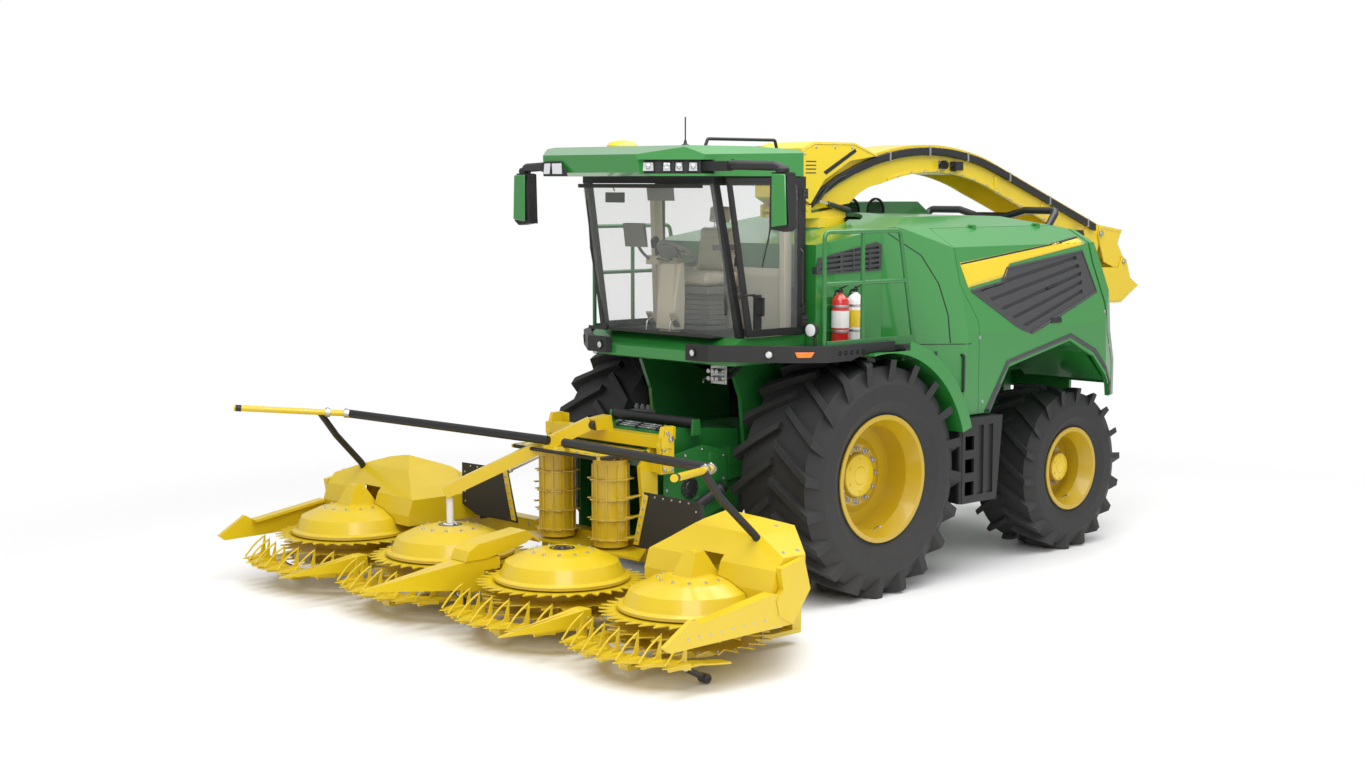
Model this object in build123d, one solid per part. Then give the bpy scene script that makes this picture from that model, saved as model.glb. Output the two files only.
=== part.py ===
"""Self-propelled forage harvester with a rotary crop header, at its real size, in millimetres.

+X is forward, +Y is the driver's left and +Z is up. The origin is on the ground, in the middle of
the overall length. Places along the machine are first written from the front axle, as fx(...).
"""
from build123d import *
import os
from math import cos, radians, sin

# Overall reach and ride
FRONT_REACH = 4340        # front axle to the tip of the middle divider
REAR_REACH = 5900         # front axle to the end of the spout's flap
WHEELBASE = 3100
RUN_FIT = 0.1             # radial clearance of a shaft in its bore
SEAT_GAP = 0.3            # gap between pieces that seat on each other
DOOR_GAP = 6.0            # gap round a door or service panel
SWING_GAP = 18.0          # more at a service panel's rear edge, where it swings up

# Wheels: tyre, rim, track, lugs a side and their size, then the disc's offset, spindle, hub and cap
WHEELS = {
    "front": dict(tyre_d=2090.0, width=900.0, rim_d=1067.0, track=2400.0, lugs=20, lug=62.0,
                  lug_w=62.0, disc=45.0, spindle=85.0, hub=205.0, cap=38.0),
    "rear": dict(tyre_d=1600.0, width=700.0, rim_d=762.0, track=2140.0, lugs=18, lug=48.0,
                 lug_w=50.0, disc=20.0, spindle=60.0, hub=150.0, cap=115.0),
}
KINGPIN_Y = 600.0         # kingpin from the middle
KINGPIN_R = 45.0

# Rotary header
ROTOR_PITCH = 1486.0      # from one rotor to the next
ROTOR_X = 2940.0          # rotor line ahead of the front axle
ROTOR_TIP_R = 690.0
DOME_R = 545.0
DOME_BASE_Z = 470.0
DOME_TOP_Z = 715.0
ROTOR_SHAFT_R = 60.0
ROTOR_YS = [(i - 1.5) * ROTOR_PITCH for i in range(4)]
DIVIDER_YS = [-ROTOR_PITCH, 0.0, ROTOR_PITCH]
BEAM_X = 1760.0           # rear face of the header's main beam
BEAM_HALF = 2300.0        # half of the main beam's length
HEADER_HALF = 2980.0      # half of the header's width
FEED_DRUM_Y = 350.0
FEED_DRUM_X = 1950.0
FEED_DRUM_R = 150.0
LIFT_X, LIFT_Z = 500.0, 1150.0   # lift pivot of feeder and header
FEEDER_HALF = 430.0

# Cab
CAB_REAR_X = 300.0
CAB_LOW_Z = 2060.0
CAB_FLOOR_Z = 2290.0
CAB_TOP_Z = 3670.0
PILLAR_X, PILLAR_Y = 1050.0, 870.0     # foot of a front pillar
PILLAR_LEAN_X, PILLAR_LEAN_Y = 260.0, -60.0
DOOR_Y = 950.0
DOOR_PIN = (352.0, 958.0)              # door hinge axis in plan
HINGE_ZS = (2500.0, 3380.0)            # bottoms of the door's hinge eyes
ROOF_TOP_Z = 3925.0
DECK_Z = 2200.0
DECK_Y = 1500.0

# Body shell
SHELL = 40.0
BODY_LOW_Z = 1490.0
HINGE_Y = 1150.0          # fold line where a side panel hinges

# Spout
TURRET_X = -760.0
TURRET_R = 330.0
TURRET_Z = 3200.0
SPOUT_HALF = 235.0
SPOUT_WALL = 15.0
SPOUT_PIVOT_X, SPOUT_PIVOT_Z = -430.0, 3370.0
FLAP_X, FLAP_Z = -5170.0, 3060.0
FLAP2_X, FLAP2_Z = -5600.0, 2745.0

AXLE_X = (REAR_REACH - FRONT_REACH) / 2
FRONT_Z = WHEELS["front"]["tyre_d"] / 2
REAR_Z = WHEELS["rear"]["tyre_d"] / 2
BOTH = (1, -1)


def fx(x):
    """A place along the machine, measured forward from the front axle."""
    return AXLE_X + x


def xz(points, y0, y1):
    """Prism of an outline in the XZ plane, x from the front axle, between two y values."""
    pts = [(fx(x), z) for x, z in points]
    face = make_face(Polyline(*pts, close=True))
    return Pos(0, y1, 0) * Rot(90, 0, 0) * extrude(face, amount=y1 - y0)


def xy(points, z0, z1):
    """Prism of an outline in the XY plane, x from the front axle, between two z values."""
    face = make_face(Polyline(*[(fx(x), y) for x, y in points], close=True))
    return Pos(0, 0, z0) * extrude(face, amount=z1 - z0)


def yz(points, x0, x1):
    """Prism of an outline in the YZ plane, between two x values from the front axle."""
    face = Plane.YZ * make_face(Polyline(*points, close=True))
    return Pos(fx(x0), 0, 0) * extrude(face, amount=x1 - x0)


def block(x0, x1, y0, y1, z0, z1):
    """Box between limits, x from the front axle."""
    return Pos(fx((x0 + x1) / 2), (y0 + y1) / 2, (z0 + z1) / 2) * Box(x1 - x0, y1 - y0, z1 - z0)


def rod(start, end, radius):
    """Round bar between two points, x from the front axle."""
    a, b = Vector(fx(start[0]), *start[1:]), Vector(fx(end[0]), *end[1:])
    return Plane(origin=a, z_dir=b - a) * extrude(Circle(radius), amount=(b - a).length)


def bar(start, end, width, height):
    """Rectangular bar between two points, x from the front axle."""
    a, b = Vector(fx(start[0]), *start[1:]), Vector(fx(end[0]), *end[1:])
    plane = Plane(origin=a, z_dir=b - a, x_dir=Vector(0, 0, 1).cross(b - a))
    return plane * extrude(Rectangle(width, height), amount=(b - a).length)


def tube(points, radius, bend):
    """Round bar along a route with equal bends, x from the front axle."""
    pts = [(fx(x), y, z) for x, y, z in points]
    path = FilletPolyline(*pts, radius=bend)
    return sweep(Plane(origin=path @ 0, z_dir=path % 0) * Circle(radius), path=path)


def across(x, z, radius, y0, y1):
    """Cylinder across the machine between two y values."""
    return Pos(fx(x), (y0 + y1) / 2, z) * Rot(90, 0, 0) * Cylinder(radius, y1 - y0)


def along(x0, x1, y, z, radius):
    """Cylinder along the machine between two x values from the front axle."""
    return Pos(fx((x0 + x1) / 2), y, z) * Rot(0, 90, 0) * Cylinder(radius, x1 - x0)


def upright(x, y, radius, z0, z1):
    """Vertical cylinder between two z values."""
    return Pos(fx(x), y, (z0 + z1) / 2) * Cylinder(radius, z1 - z0)


def spin(profile):
    """Turn a profile of (radius, y) points about the Y axis."""
    face = make_face(Polyline(*profile, close=True))
    return revolve(face, Axis.Y)


def join(*shapes):
    """Fuse shapes in one step."""
    first, *rest = shapes
    return first.fuse(*rest) if rest else first


def mirror_y(shape):
    """The same shape on the other side of the machine."""
    return mirror(shape, about=Plane.XZ)


def group(*shapes):
    """Several solids of one node that don't touch."""
    solids = []
    for shape in shapes:
        solids.extend(shape.solids())
    return Compound(children=solids)


def save(name, shape):
    """Write one node."""
    export_step(shape, f"parts/{name}.step")


# Wheels, about the Y axis at the origin, outer face towards +Y
def tyre(w):
    """Tractor tyre: plain carcass with slanting lugs to both shoulders."""
    top = w["tyre_d"] / 2
    crown = top - w["lug"]
    bead = w["rim_d"] / 2 + SEAT_GAP
    half = w["width"] / 2
    seat = 0.42 * w["width"]
    side = [(bead, seat), (bead + 40, seat), (bead + 0.34 * (crown - bead), half),
            (bead + 0.66 * (crown - bead), half), (crown, half * 0.82)]
    carcass = spin(side + [(r, -y) for r, y in reversed(side)])
    low = bead + 0.6 * (crown - bead)
    run = 0.72 * half
    outline = make_face(Polyline((-run / 2, 12), (-run / 2 + w["lug_w"], 0),
                                 (run / 2 + w["lug_w"] * 0.6, half * 0.97),
                                 (run / 2 - w["lug_w"] * 0.6, half * 0.97), close=True))
    lugs = []
    for side_sign in BOTH:
        lug = extrude(outline, amount=top * 1.02 - low)
        if side_sign < 0:
            lug = mirror(lug, about=Plane.XZ)
        for i in range(w["lugs"]):
            turn = 360 / w["lugs"] * (i + (0.25 if side_sign > 0 else -0.25))
            lugs.append(Rot(0, turn, 0) * Pos(0, 0, low) * lug)
    ring = Rot(90, 0, 0) * (Cylinder(top, w["width"]) - Cylinder(low, w["width"] + 2))
    cut_lugs = [piece & ring for piece in lugs]
    return carcass.fuse(*cut_lugs)


def rim(w):
    """One-piece wheel: flanges, barrel and a dished disc with its hub boss."""
    seat = w["rim_d"] / 2
    half = 0.42 * w["width"]
    flange = seat + 28
    wall = 14
    disc = w["disc"]
    hub = w["hub"]
    barrel = spin([(flange, half + 6), (flange, half + 20), (seat - wall, half + 20),
                   (seat - wall - 60, half - 110), (seat - wall - 60, -half + 110),
                   (seat - wall, -half - 20), (flange, -half - 20), (flange, -half - 6),
                   (seat, -half - 6), (seat, -half + 60), (seat - 60, -half + 130),
                   (seat - 60, half - 130), (seat, half - 60), (seat, half + 6)])
    rim_in = seat - 66
    plate = spin([(0, disc - 10), (rim_in, disc - 10), (rim_in, disc + 8), (hub + 130, disc + 8),
                  (hub + 70, disc + 34), (hub, disc + 34), (hub - 12, disc + 34 + w["cap"]),
                  (0, disc + 34 + w["cap"])])
    boss = spin([(w["spindle"] + RUN_FIT, disc - 130), (hub * 0.8, disc - 130),
                 (hub * 0.8, disc - 8), (w["spindle"] + RUN_FIT, disc - 8)])
    return join(barrel, plate, boss)


def place_wheel(shape, axle, side):
    """Put a wheel piece at its hub on one side."""
    w = WHEELS[axle]
    x = 0 if axle == "front" else -WHEELBASE
    z = FRONT_Z if axle == "front" else REAR_Z
    if side < 0:
        shape = mirror_y(shape)
    return Pos(fx(x), side * w["track"] / 2, z) * shape


def wheels():
    """Four tyres and four rims."""
    for axle, w in WHEELS.items():
        tyre_shape, rim_shape = tyre(w), rim(w)
        for side, name in ((1, "left"), (-1, "right")):
            save(f"{axle}_tyre_{name}", place_wheel(tyre_shape, axle, side))
            save(f"{axle}_rim_{name}", place_wheel(rim_shape, axle, side))


# Running gear
RAIL_IN, RAIL_OUT = 290.0, 410.0
RAIL_LOW_Z = 1150.0
RAIL_END = -3700.0
SIDE_PLATE_IN, SIDE_PLATE_OUT = 560.0, 600.0


def chassis():
    """Two cranked rails, cross members, the rear axle's hanger and the feeder's side plates."""
    rail = xz([(450, RAIL_LOW_Z), (-1900, RAIL_LOW_Z), (-2250, 1690), (RAIL_END, 1690), (RAIL_END, 1870),
               (-2150, 1870), (-1750, 1420), (450, 1420)], RAIL_IN, RAIL_OUT)
    top = CAB_LOW_Z - SEAT_GAP
    plate = xz([(-250, RAIL_LOW_Z), (-250, 1700), (500, top), (900, top), (760, 1730), (700, 1200),
                (620, 1000), (500, 900), (300, RAIL_LOW_Z)], SIDE_PLATE_IN, SIDE_PLATE_OUT)
    plate = plate - across(LIFT_X, LIFT_Z, 55 + RUN_FIT, SIDE_PLATE_IN - 10, SIDE_PLATE_OUT + 10)
    tie = block(-240, 200, RAIL_OUT, SIDE_PLATE_IN, 1200, 1400)
    half = join(rail, plate, tie)
    members = [block(x0, x0 + 120, -RAIL_IN, RAIL_IN, z0, z0 + 160)
               for x0, z0 in ((320, 1230), (-1100, 1230), (-3300, 1700), (-3020, 1700), (RAIL_END, 1700))]
    members.append(block(RAIL_END, RAIL_END + 120, -180, 180, 640, 1710))
    hanger = [block(x0, x0 + 40, -150, 150, 690, 1700)
              for x0 in (-WHEELBASE - 180, -WHEELBASE + 140)]
    pin = Pos(fx(-WHEELBASE), 0, REAR_Z) * Rot(0, 90, 0) * Cylinder(60, 420)
    bearer = block(-480, -420, -1480, 1480, 2100, DECK_Z - 45 - SEAT_GAP)
    posts = [block(-480, -420, *sorted((s * 300, s * 400)), 1410, 2110) for s in BOTH]
    wings = [block(-1420, -1320, *sorted((s * 400, s * (1460 - SEAT_GAP))), 1500, 1580) for s in BOTH]
    wing_posts = [block(-1420, -1320, *sorted((s * 300, s * 400)), 1410, 1580) for s in BOTH]
    tail = block(-3750 + SEAT_GAP, RAIL_END + 10, -400, 400, 1720, 1790)
    return join(half, mirror_y(half), *members, *hanger, pin, bearer, *posts, *wings, *wing_posts, tail)


def front_axle():
    """Drive axle: beam under the rails, final drives and spindles."""
    w = WHEELS["front"]
    hub_y = w["track"] / 2 + w["disc"]
    beam = block(-170, 170, -700, 700, 900, RAIL_LOW_Z - SEAT_GAP)
    half = join(across(0, FRONT_Z, 235, 640, 1000), across(0, FRONT_Z, 180, 1000, hub_y - 150),
                across(0, FRONT_Z, w["spindle"], hub_y - 150, hub_y - 20))
    return join(beam, half, mirror_y(half))


def rear_axle():
    """Steered axle beam, carried on the hanger's pin, with an eye for each kingpin."""
    beam = join(block(-WHEELBASE - 85, -WHEELBASE + 85, -KINGPIN_Y, KINGPIN_Y, REAR_Z - 95, REAR_Z + 95),
                block(-WHEELBASE - 130, -WHEELBASE + 130, -110, 110, REAR_Z - 110, REAR_Z + 110))
    eyes = [upright(-WHEELBASE, s * KINGPIN_Y, 85, REAR_Z - 95, REAR_Z + 95) for s in BOTH]
    bores = [upright(-WHEELBASE, s * KINGPIN_Y, KINGPIN_R + RUN_FIT, 0, 2000) for s in BOTH]
    pin_bore = Pos(fx(-WHEELBASE), 0, REAR_Z) * Rot(0, 90, 0) * Cylinder(60 + RUN_FIT, 600)
    return join(beam, *eyes) - bores[0] - bores[1] - pin_bore


def knuckle():
    """Left steering knuckle: two ears on a kingpin, an upright and the wheel spindle."""
    w = WHEELS["rear"]
    hub_y = w["track"] / 2 + w["disc"]
    ears = [upright(-WHEELBASE, KINGPIN_Y, 80, z, z + 50) for z in (REAR_Z - 150, REAR_Z + 100)]
    arms = [block(-WHEELBASE - 60, -WHEELBASE + 60, KINGPIN_Y, KINGPIN_Y + 150, z, z + 50)
            for z in (REAR_Z - 150, REAR_Z + 100)]
    post = block(-WHEELBASE - 70, -WHEELBASE + 70, KINGPIN_Y + 100, KINGPIN_Y + 160,
                 REAR_Z - 150, REAR_Z + 150)
    pin = upright(-WHEELBASE, KINGPIN_Y, KINGPIN_R, REAR_Z - 150, REAR_Z + 150)
    stub = join(across(-WHEELBASE, REAR_Z, 110, KINGPIN_Y + 150, hub_y - 150),
                across(-WHEELBASE, REAR_Z, w["spindle"], hub_y - 150, hub_y - 20))
    return join(pin, *ears, *arms, post, stub)


# Rear body shell
SIDE_LINE = [(-600, BODY_LOW_Z), (-600, 3200), (-1250, 3330), (-2500, 3290), (-3290, 3150),
             (-3420, 2830), (-3560, 2450), (-3620, 2150), (-3790, 1840), (-3790, BODY_LOW_Z)]
CROSS_LINE = [(1500, BODY_LOW_Z), (1530, 2250), (1430, 3030), (HINGE_Y, 3200), (880, 3300), (0, 3345)]
PLAN_LINE = [(-600, 1010), (-1290, 1560), (-3350, 1560), (-3800, 1380)]
PANEL_LINE = [(-1100, 3400), (-1180, 2700), (-1400, 2360), (-1445, BODY_LOW_Z - 50),
              (-1610, BODY_LOW_Z - 50), (-1900, 1900), (-2840, 2090), (-3240, 1920), (-3590, 1600),
              (-3640, BODY_LOW_Z - 50), (-3700, BODY_LOW_Z - 50), (-3700, 1840), (-3500, 2150),
              (-3440, 2450), (-3300, 2830), (-3170, 3400)]
ARCH_LINE = PANEL_LINE[4:10]


def shrink(points, by, top=True):
    """Move an outline's points inwards, towards y 0 and down."""
    return [(max(y - by, 0) if y else 0, z - by if z > BODY_LOW_Z else z - 5) for y, z in points]


def shaped(cross, side, plan):
    """Solid with a given cross-section, side outline and plan."""
    full = cross + [(-y, z) for y, z in reversed(cross) if y]
    solid = yz(full, -3900, -500)
    solid = solid & xz(side, -1700, 1700)
    return solid & xy(plan + [(x, -y) for x, y in reversed(plan)], 1000, 3500)


def rear_form():
    """The rear body's outer form, as a solid."""
    return shaped(CROSS_LINE, SIDE_LINE, PLAN_LINE)


def rear_shell():
    """The rear body as one open-bottomed shell."""
    outer = rear_form()
    inner_side = [(-600 - SHELL, BODY_LOW_Z - 5), (-600 - SHELL, 3160), (-1250, 3330 - SHELL),
                  (-2500, 3290 - SHELL), (-3290 + SHELL, 3150 - SHELL), (-3420 + SHELL, 2830),
                  (-3560 + SHELL, 2450), (-3620 + SHELL, 2150), (-3790 + SHELL, 1840),
                  (-3790 + SHELL, BODY_LOW_Z - 5)]
    inner_plan = [(x - (SHELL if x > -1000 else 0) + (SHELL if x < -3700 else 0), y - SHELL)
                  for x, y in PLAN_LINE]
    inner = shaped(shrink(CROSS_LINE, SHELL), inner_side, inner_plan)
    return outer - inner


PANEL_PIN = (HINGE_Y + 3, 3214.0)       # y and z of the service panels' hinge axis
PANEL_HINGE_XS = (-1750, -2750)


def panel_hinges():
    """Left service panel's two hinges: ears with a pin on the hood, an eye on the panel."""
    fixed, moving = [], []
    y, z = PANEL_PIN
    for x in PANEL_HINGE_XS:
        for x0 in (x - 20 - SEAT_GAP - 15, x + 20 + SEAT_GAP):
            fixed.append(join(along(x0, x0 + 15, y, z, 12), block(x0, x0 + 15, y - 40, y, 3185, z)))
        fixed.append(along(x - 34, x + 34, y, z, 7))
        eye = join(along(x - 20, x + 20, y, z, 12), block(x - 20, x + 20, y, y + 40, 3166, z + 4))
        moving.append(eye - along(x - 30, x + 30, y, z, 7 + RUN_FIT))
    return fixed, moving


def panel_cutter(gap):
    """Region of the left service panel, taken in by a gap."""
    region = xz(PANEL_LINE, HINGE_Y + gap, 1700)
    return region if gap == 0 else region & Pos(0, 0, 0) * xz(inset_panel(gap), HINGE_Y, 1700)


def inset_panel(gap):
    """Service panel outline, taken in at its front and rear edges; the arch side stays."""
    front = [(x - gap, z) for x, z in PANEL_LINE[:4]]
    rear = [(x + gap, z) for x, z in PANEL_LINE[10:]]
    return front + PANEL_LINE[4:10] + rear


# Grille window in a service panel: x and z of its corners
GRILLE_LINE = [(-1330, 2640), (-1790, 2700), (-1890, 2830), (-3130, 2960), (-3320, 2550),
               (-2210, 2190), (-2030, 2240)]


def grille_region(gap):
    """Prism of the service panel's grille window, taken in by a gap."""
    cx = sum(p[0] for p in GRILLE_LINE) / len(GRILLE_LINE)
    cz = sum(p[1] for p in GRILLE_LINE) / len(GRILLE_LINE)
    share = 1 - gap / 450
    pts = [(cx + (x - cx) * share, cz + (z - cz) * share) for x, z in GRILLE_LINE]
    return xz(pts, 1300, 1700)


def body():
    """Hood, rear screen, both service panels and their grilles."""
    shell = rear_shell()
    cut = panel_cutter(0)
    arch = xz(ARCH_LINE, 300, 1700)
    rear_window = block(-3900, -3300, -1010, 1010, 2240, 3010)
    wheel = across(0, FRONT_Z, 1118, 690, 1700)
    turret = upright(TURRET_X, 0, TURRET_R + 50 + SEAT_GAP, 2600, 3500)
    hood = shell - cut - mirror_y(cut) - arch - mirror_y(arch) - rear_window
    notch = block(-3900, -3700, 880, 1330, BODY_LOW_Z - 60, BODY_LOW_Z + 110)
    swing = upright(TURRET_X, 0, 500, 3270, 3500)
    hood = hood - wheel - mirror_y(wheel) - turret - notch - mirror_y(notch) - swing
    liner = join(xz([(-1640, 1560), (-1930, 1930), (-2840, 2120), (-3260, 1950), (-3620, 1640),
                     (-3620, 1670), (-3270, 1980), (-2840, 2150), (-1920, 1960), (-1600, 1570)],
                    RAIL_OUT + SEAT_GAP, 1380))
    fixed, moving = panel_hinges()
    hood = join(hood.solids().sort_by(SortBy.VOLUME)[-1], *fixed, *[mirror_y(piece) for piece in fixed])
    save("hood", group(hood, liner, mirror_y(liner)))
    screen = shell & block(-3900, -3300, -1010 + SEAT_GAP, 1010 - SEAT_GAP, 2240 + SEAT_GAP, 3010 - SEAT_GAP)
    slots = [block(-3900, -3200, -940, 940, z, z + 34) for z in range(2290, 2960, 70)]
    save("rear_screen", screen.cut(*slots))
    cutter = panel_cutter(DOOR_GAP)
    panel = (shell & cutter & Pos(SWING_GAP, 0, 0) * cutter) - grille_region(0)
    panel = join(panel.solids().sort_by(SortBy.VOLUME)[-1], *moving)
    save("side_panel_left", panel)
    save("side_panel_right", mirror_y(panel))
    grille = shell & grille_region(0.8)
    slats = []
    for i in range(6):
        drop = 105 * i
        x0 = -1480 - 105 * i
        slats.append(xz([(x0, 2615 - drop), (-3080, 2880 - drop * 0.8), (-3080, 2920 - drop * 0.8),
                         (x0, 2655 - drop)], 1300, 1700) & grille_region(60))
    depth = shell & Pos(0, -20, 0) * shell & block(-3900, -500, 900, 1700, 1500, 3400)
    slats = [slat - depth for slat in slats if slat.solids()]
    grille = grille.cut(*slats).solids().sort_by(SortBy.VOLUME)[-1]
    save("side_grille_left", grille)
    save("side_grille_right", mirror_y(grille))
    return shell


VENT_LINE = [(300, 2815), (255, 2960), (-520, 3085), (-585, 3060), (-585, 2830)]


def inset(points, share):
    """An outline drawn in towards the mean of its points."""
    cx = sum(p[0] for p in points) / len(points)
    cz = sum(p[1] for p in points) / len(points)
    return [(cx + (x - cx) * share, cz + (z - cz) * share) for x, z in points]


def mid_hood():
    """Body between cab and rear shell, with side vents and the spout's turret seat."""
    low = DECK_Z - 45
    side = [(CAB_REAR_X - 20, low), (CAB_REAR_X - 20, 3075), (-600 + SEAT_GAP, 3200), (-600 + SEAT_GAP, low)]
    outer = xz(side, -1040, 1040)
    inner = block(-560, CAB_REAR_X - 60, -1000, 1000, low - 10, 3010)
    vent = xz(VENT_LINE, 990, 1060)
    turret = upright(TURRET_X, 0, TURRET_R + 50 + SEAT_GAP, 2600, 3500)
    shell = outer - inner - vent - mirror_y(vent) - turret
    grille = xz(inset(VENT_LINE, 0.998), 1000, 1052)
    rows = [xz([(300, z), (-585, z + 45), (-585, z + 67), (300, z + 22)], 1030, 1060)
            for z in (2800, 2845, 2890, 2935, 2980)]
    field = xz(inset(VENT_LINE, 0.9), 900, 1100) - block(-60, -30, 900, 1100, 2700, 3200)
    grille = grille.cut(*[row & field for row in rows]) & xz(side, -2000, 2000)
    save("vent_grilles", group(grille, mirror_y(grille)))
    return shell


def intake():
    """Raised air intake housing on the hood with two round fan mouths."""
    housing = xz([(-1250, 3240), (-1290, 3425), (-2500, 3425), (-2790, 3240)], -780, -120)
    mouths = [Pos(fx(x), -120, 3340) * Rot(90, 0, 0) * Cylinder(115, 160) for x in (-1480, -1850)]
    return housing.cut(*mouths) - Pos(0, 0, SEAT_GAP) * rear_form()


# Cab
def roof_form():
    """The roof's outer form."""
    plan = xy([(360, -960), (1600, -1000), (2000, -600), (2000, 600), (1600, 1000), (360, 960)],
              CAB_TOP_Z, ROOF_TOP_Z)
    side = xz([(340, CAB_TOP_Z), (340, 3900), (900, ROOF_TOP_Z), (1650, ROOF_TOP_Z), (2000, 3850), (1970, 3700),
               (1900, CAB_TOP_Z)], -1010, 1010)
    end = yz([(-1000, CAB_TOP_Z), (-1000, 3850), (-860, ROOF_TOP_Z), (860, ROOF_TOP_Z), (1000, 3850),
              (1000, CAB_TOP_Z)], 300, 2050)
    return plan & side & end


def roof_shell():
    """Hollow roof with a recessed lamp band round its front."""
    roof = roof_form()
    recess = yz([(-2000, 3690), (2000, 3690), (2000, 3805), (-2000, 3805)], 1480, 2050) \
        - xy([(0, -905), (1560, -905), (1905, -560), (1905, 560), (1560, 905), (0, 905)], 3600, 3900) \
        - block(0, 2100, -610, 610, 3600, 3900)
    attic = xy([(420, -850), (1500, -850), (1830, -520), (1830, 520), (1500, 850), (420, 850)], CAB_TOP_Z + 30, 3885)
    attic = attic & xz([(400, 3600), (400, 3860), (900, 3885), (1600, 3885), (1850, 3830), (1820, 3600)], -1000, 1000)
    return roof - recess - attic


def pillar(x, y, size, lean_x, lean_y, z0, z1):
    """Square pillar with a lean."""
    foot = Pos(fx(x), y, z0) * Rectangle(size, size)
    way = Vector(lean_x, lean_y, z1 - z0)
    return extrude(foot, amount=way.length, dir=way)


def cab():
    """Belt and floor, pillars with the rear wall, roof, glass, door, seat and console."""
    belt_side = [(CAB_REAR_X, CAB_LOW_Z), (CAB_REAR_X, CAB_FLOOR_Z), (1090, CAB_FLOOR_Z), (1290, 2170),
                 (1300, 2080), (1230, CAB_LOW_Z)]
    belt = xz(belt_side, -930, 930)
    belt = belt & xy([(CAB_REAR_X, -930), (1150, -930), (1300, -700), (1300, 700), (1150, 930),
                      (CAB_REAR_X, 930)], 1900, 2400)
    pockets = [block(x0, x1, -860, 860, CAB_LOW_Z - 10, CAB_FLOOR_Z - 30) for x0, x1 in ((360, 480), (580, 820), (920, 1130))]
    save("cab_floor", belt.cut(*pockets))
    z0, z1 = CAB_FLOOR_Z + SEAT_GAP, CAB_TOP_Z - SEAT_GAP
    front = [pillar(PILLAR_X, s * PILLAR_Y, 60, PILLAR_LEAN_X, s * PILLAR_LEAN_Y, z0, z1) for s in BOTH]
    rear = [block(CAB_REAR_X, CAB_REAR_X + 70, s * 900 - 35, s * 900 + 35, z0, z1) for s in BOTH]
    wall = block(CAB_REAR_X, CAB_REAR_X + 40, -870, 870, z0, 2700)
    head = block(CAB_REAR_X, CAB_REAR_X + 70, -870, 870, z1 - 80, z1)
    top_front = xy([(PILLAR_X + PILLAR_LEAN_X - 30, -840), (PILLAR_X + PILLAR_LEAN_X + 30, -840),
                    (PILLAR_X + PILLAR_LEAN_X + 30, 840), (PILLAR_X + PILLAR_LEAN_X - 30, 840)], z1 - 60, z1)
    top_side = [xy([(CAB_REAR_X + 30, s * 870), (CAB_REAR_X + 30, s * 925),
                    (PILLAR_X + PILLAR_LEAN_X, s * 840), (PILLAR_X + PILLAR_LEAN_X, s * 785)], z1 - 60, z1)
                for s in BOTH]
    right_sill = block(CAB_REAR_X + 30, PILLAR_X, -905, -850, z0, z0 + 60)
    hinges = []
    for z in HINGE_ZS:
        ears = [join(upright(*DOOR_PIN, 16, at, at + 20), block(DOOR_PIN[0] - 16, DOOR_PIN[0] + 16, 930, DOOR_PIN[1], at, at + 20))
                for at in (z - 20 - SEAT_GAP, z + 40 + SEAT_GAP)]
        hinges += [*ears, upright(*DOOR_PIN, 10, z - 15, z + 55)]
    save("cab_frame", join(*front, *rear, wall, head, top_front, *top_side, right_sill, *hinges))
    save("roof", roof_shell())
    lean = Vector(PILLAR_LEAN_X, 0, z1 - z0 - 64)
    screen_arc = ThreePointArc((fx(PILLAR_X + 38.3), -840), (fx(PILLAR_X + 112.3), 0), (fx(PILLAR_X + 38.3), 840))
    inner_arc = ThreePointArc((fx(PILLAR_X + 30.3), 840), (fx(PILLAR_X + 104.3), 0), (fx(PILLAR_X + 30.3), -840))
    ends = [Line(screen_arc @ 1, inner_arc @ 0), Line(inner_arc @ 1, screen_arc @ 0)]
    face = Pos(0, 0, z0 + 2) * make_face([screen_arc, ends[0], inner_arc, ends[1]])
    screen = extrude(face, amount=lean.length, dir=lean)
    rear_glass = block(CAB_REAR_X + 20, CAB_REAR_X + 28, -860, 860, 2700 + SEAT_GAP, z1 - 80 - SEAT_GAP)
    side_pts = [(CAB_REAR_X + 70 + SEAT_GAP, z0 + 60 + SEAT_GAP), (PILLAR_X - 32, z0 + 60 + SEAT_GAP),
                (PILLAR_X + PILLAR_LEAN_X - 42, z1 - 60 - SEAT_GAP), (CAB_REAR_X + 70 + SEAT_GAP, z1 - 60 - SEAT_GAP)]
    right_glass = xz(side_pts, -876, -868)
    save("cab_glass", group(screen, rear_glass, right_glass))


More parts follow.
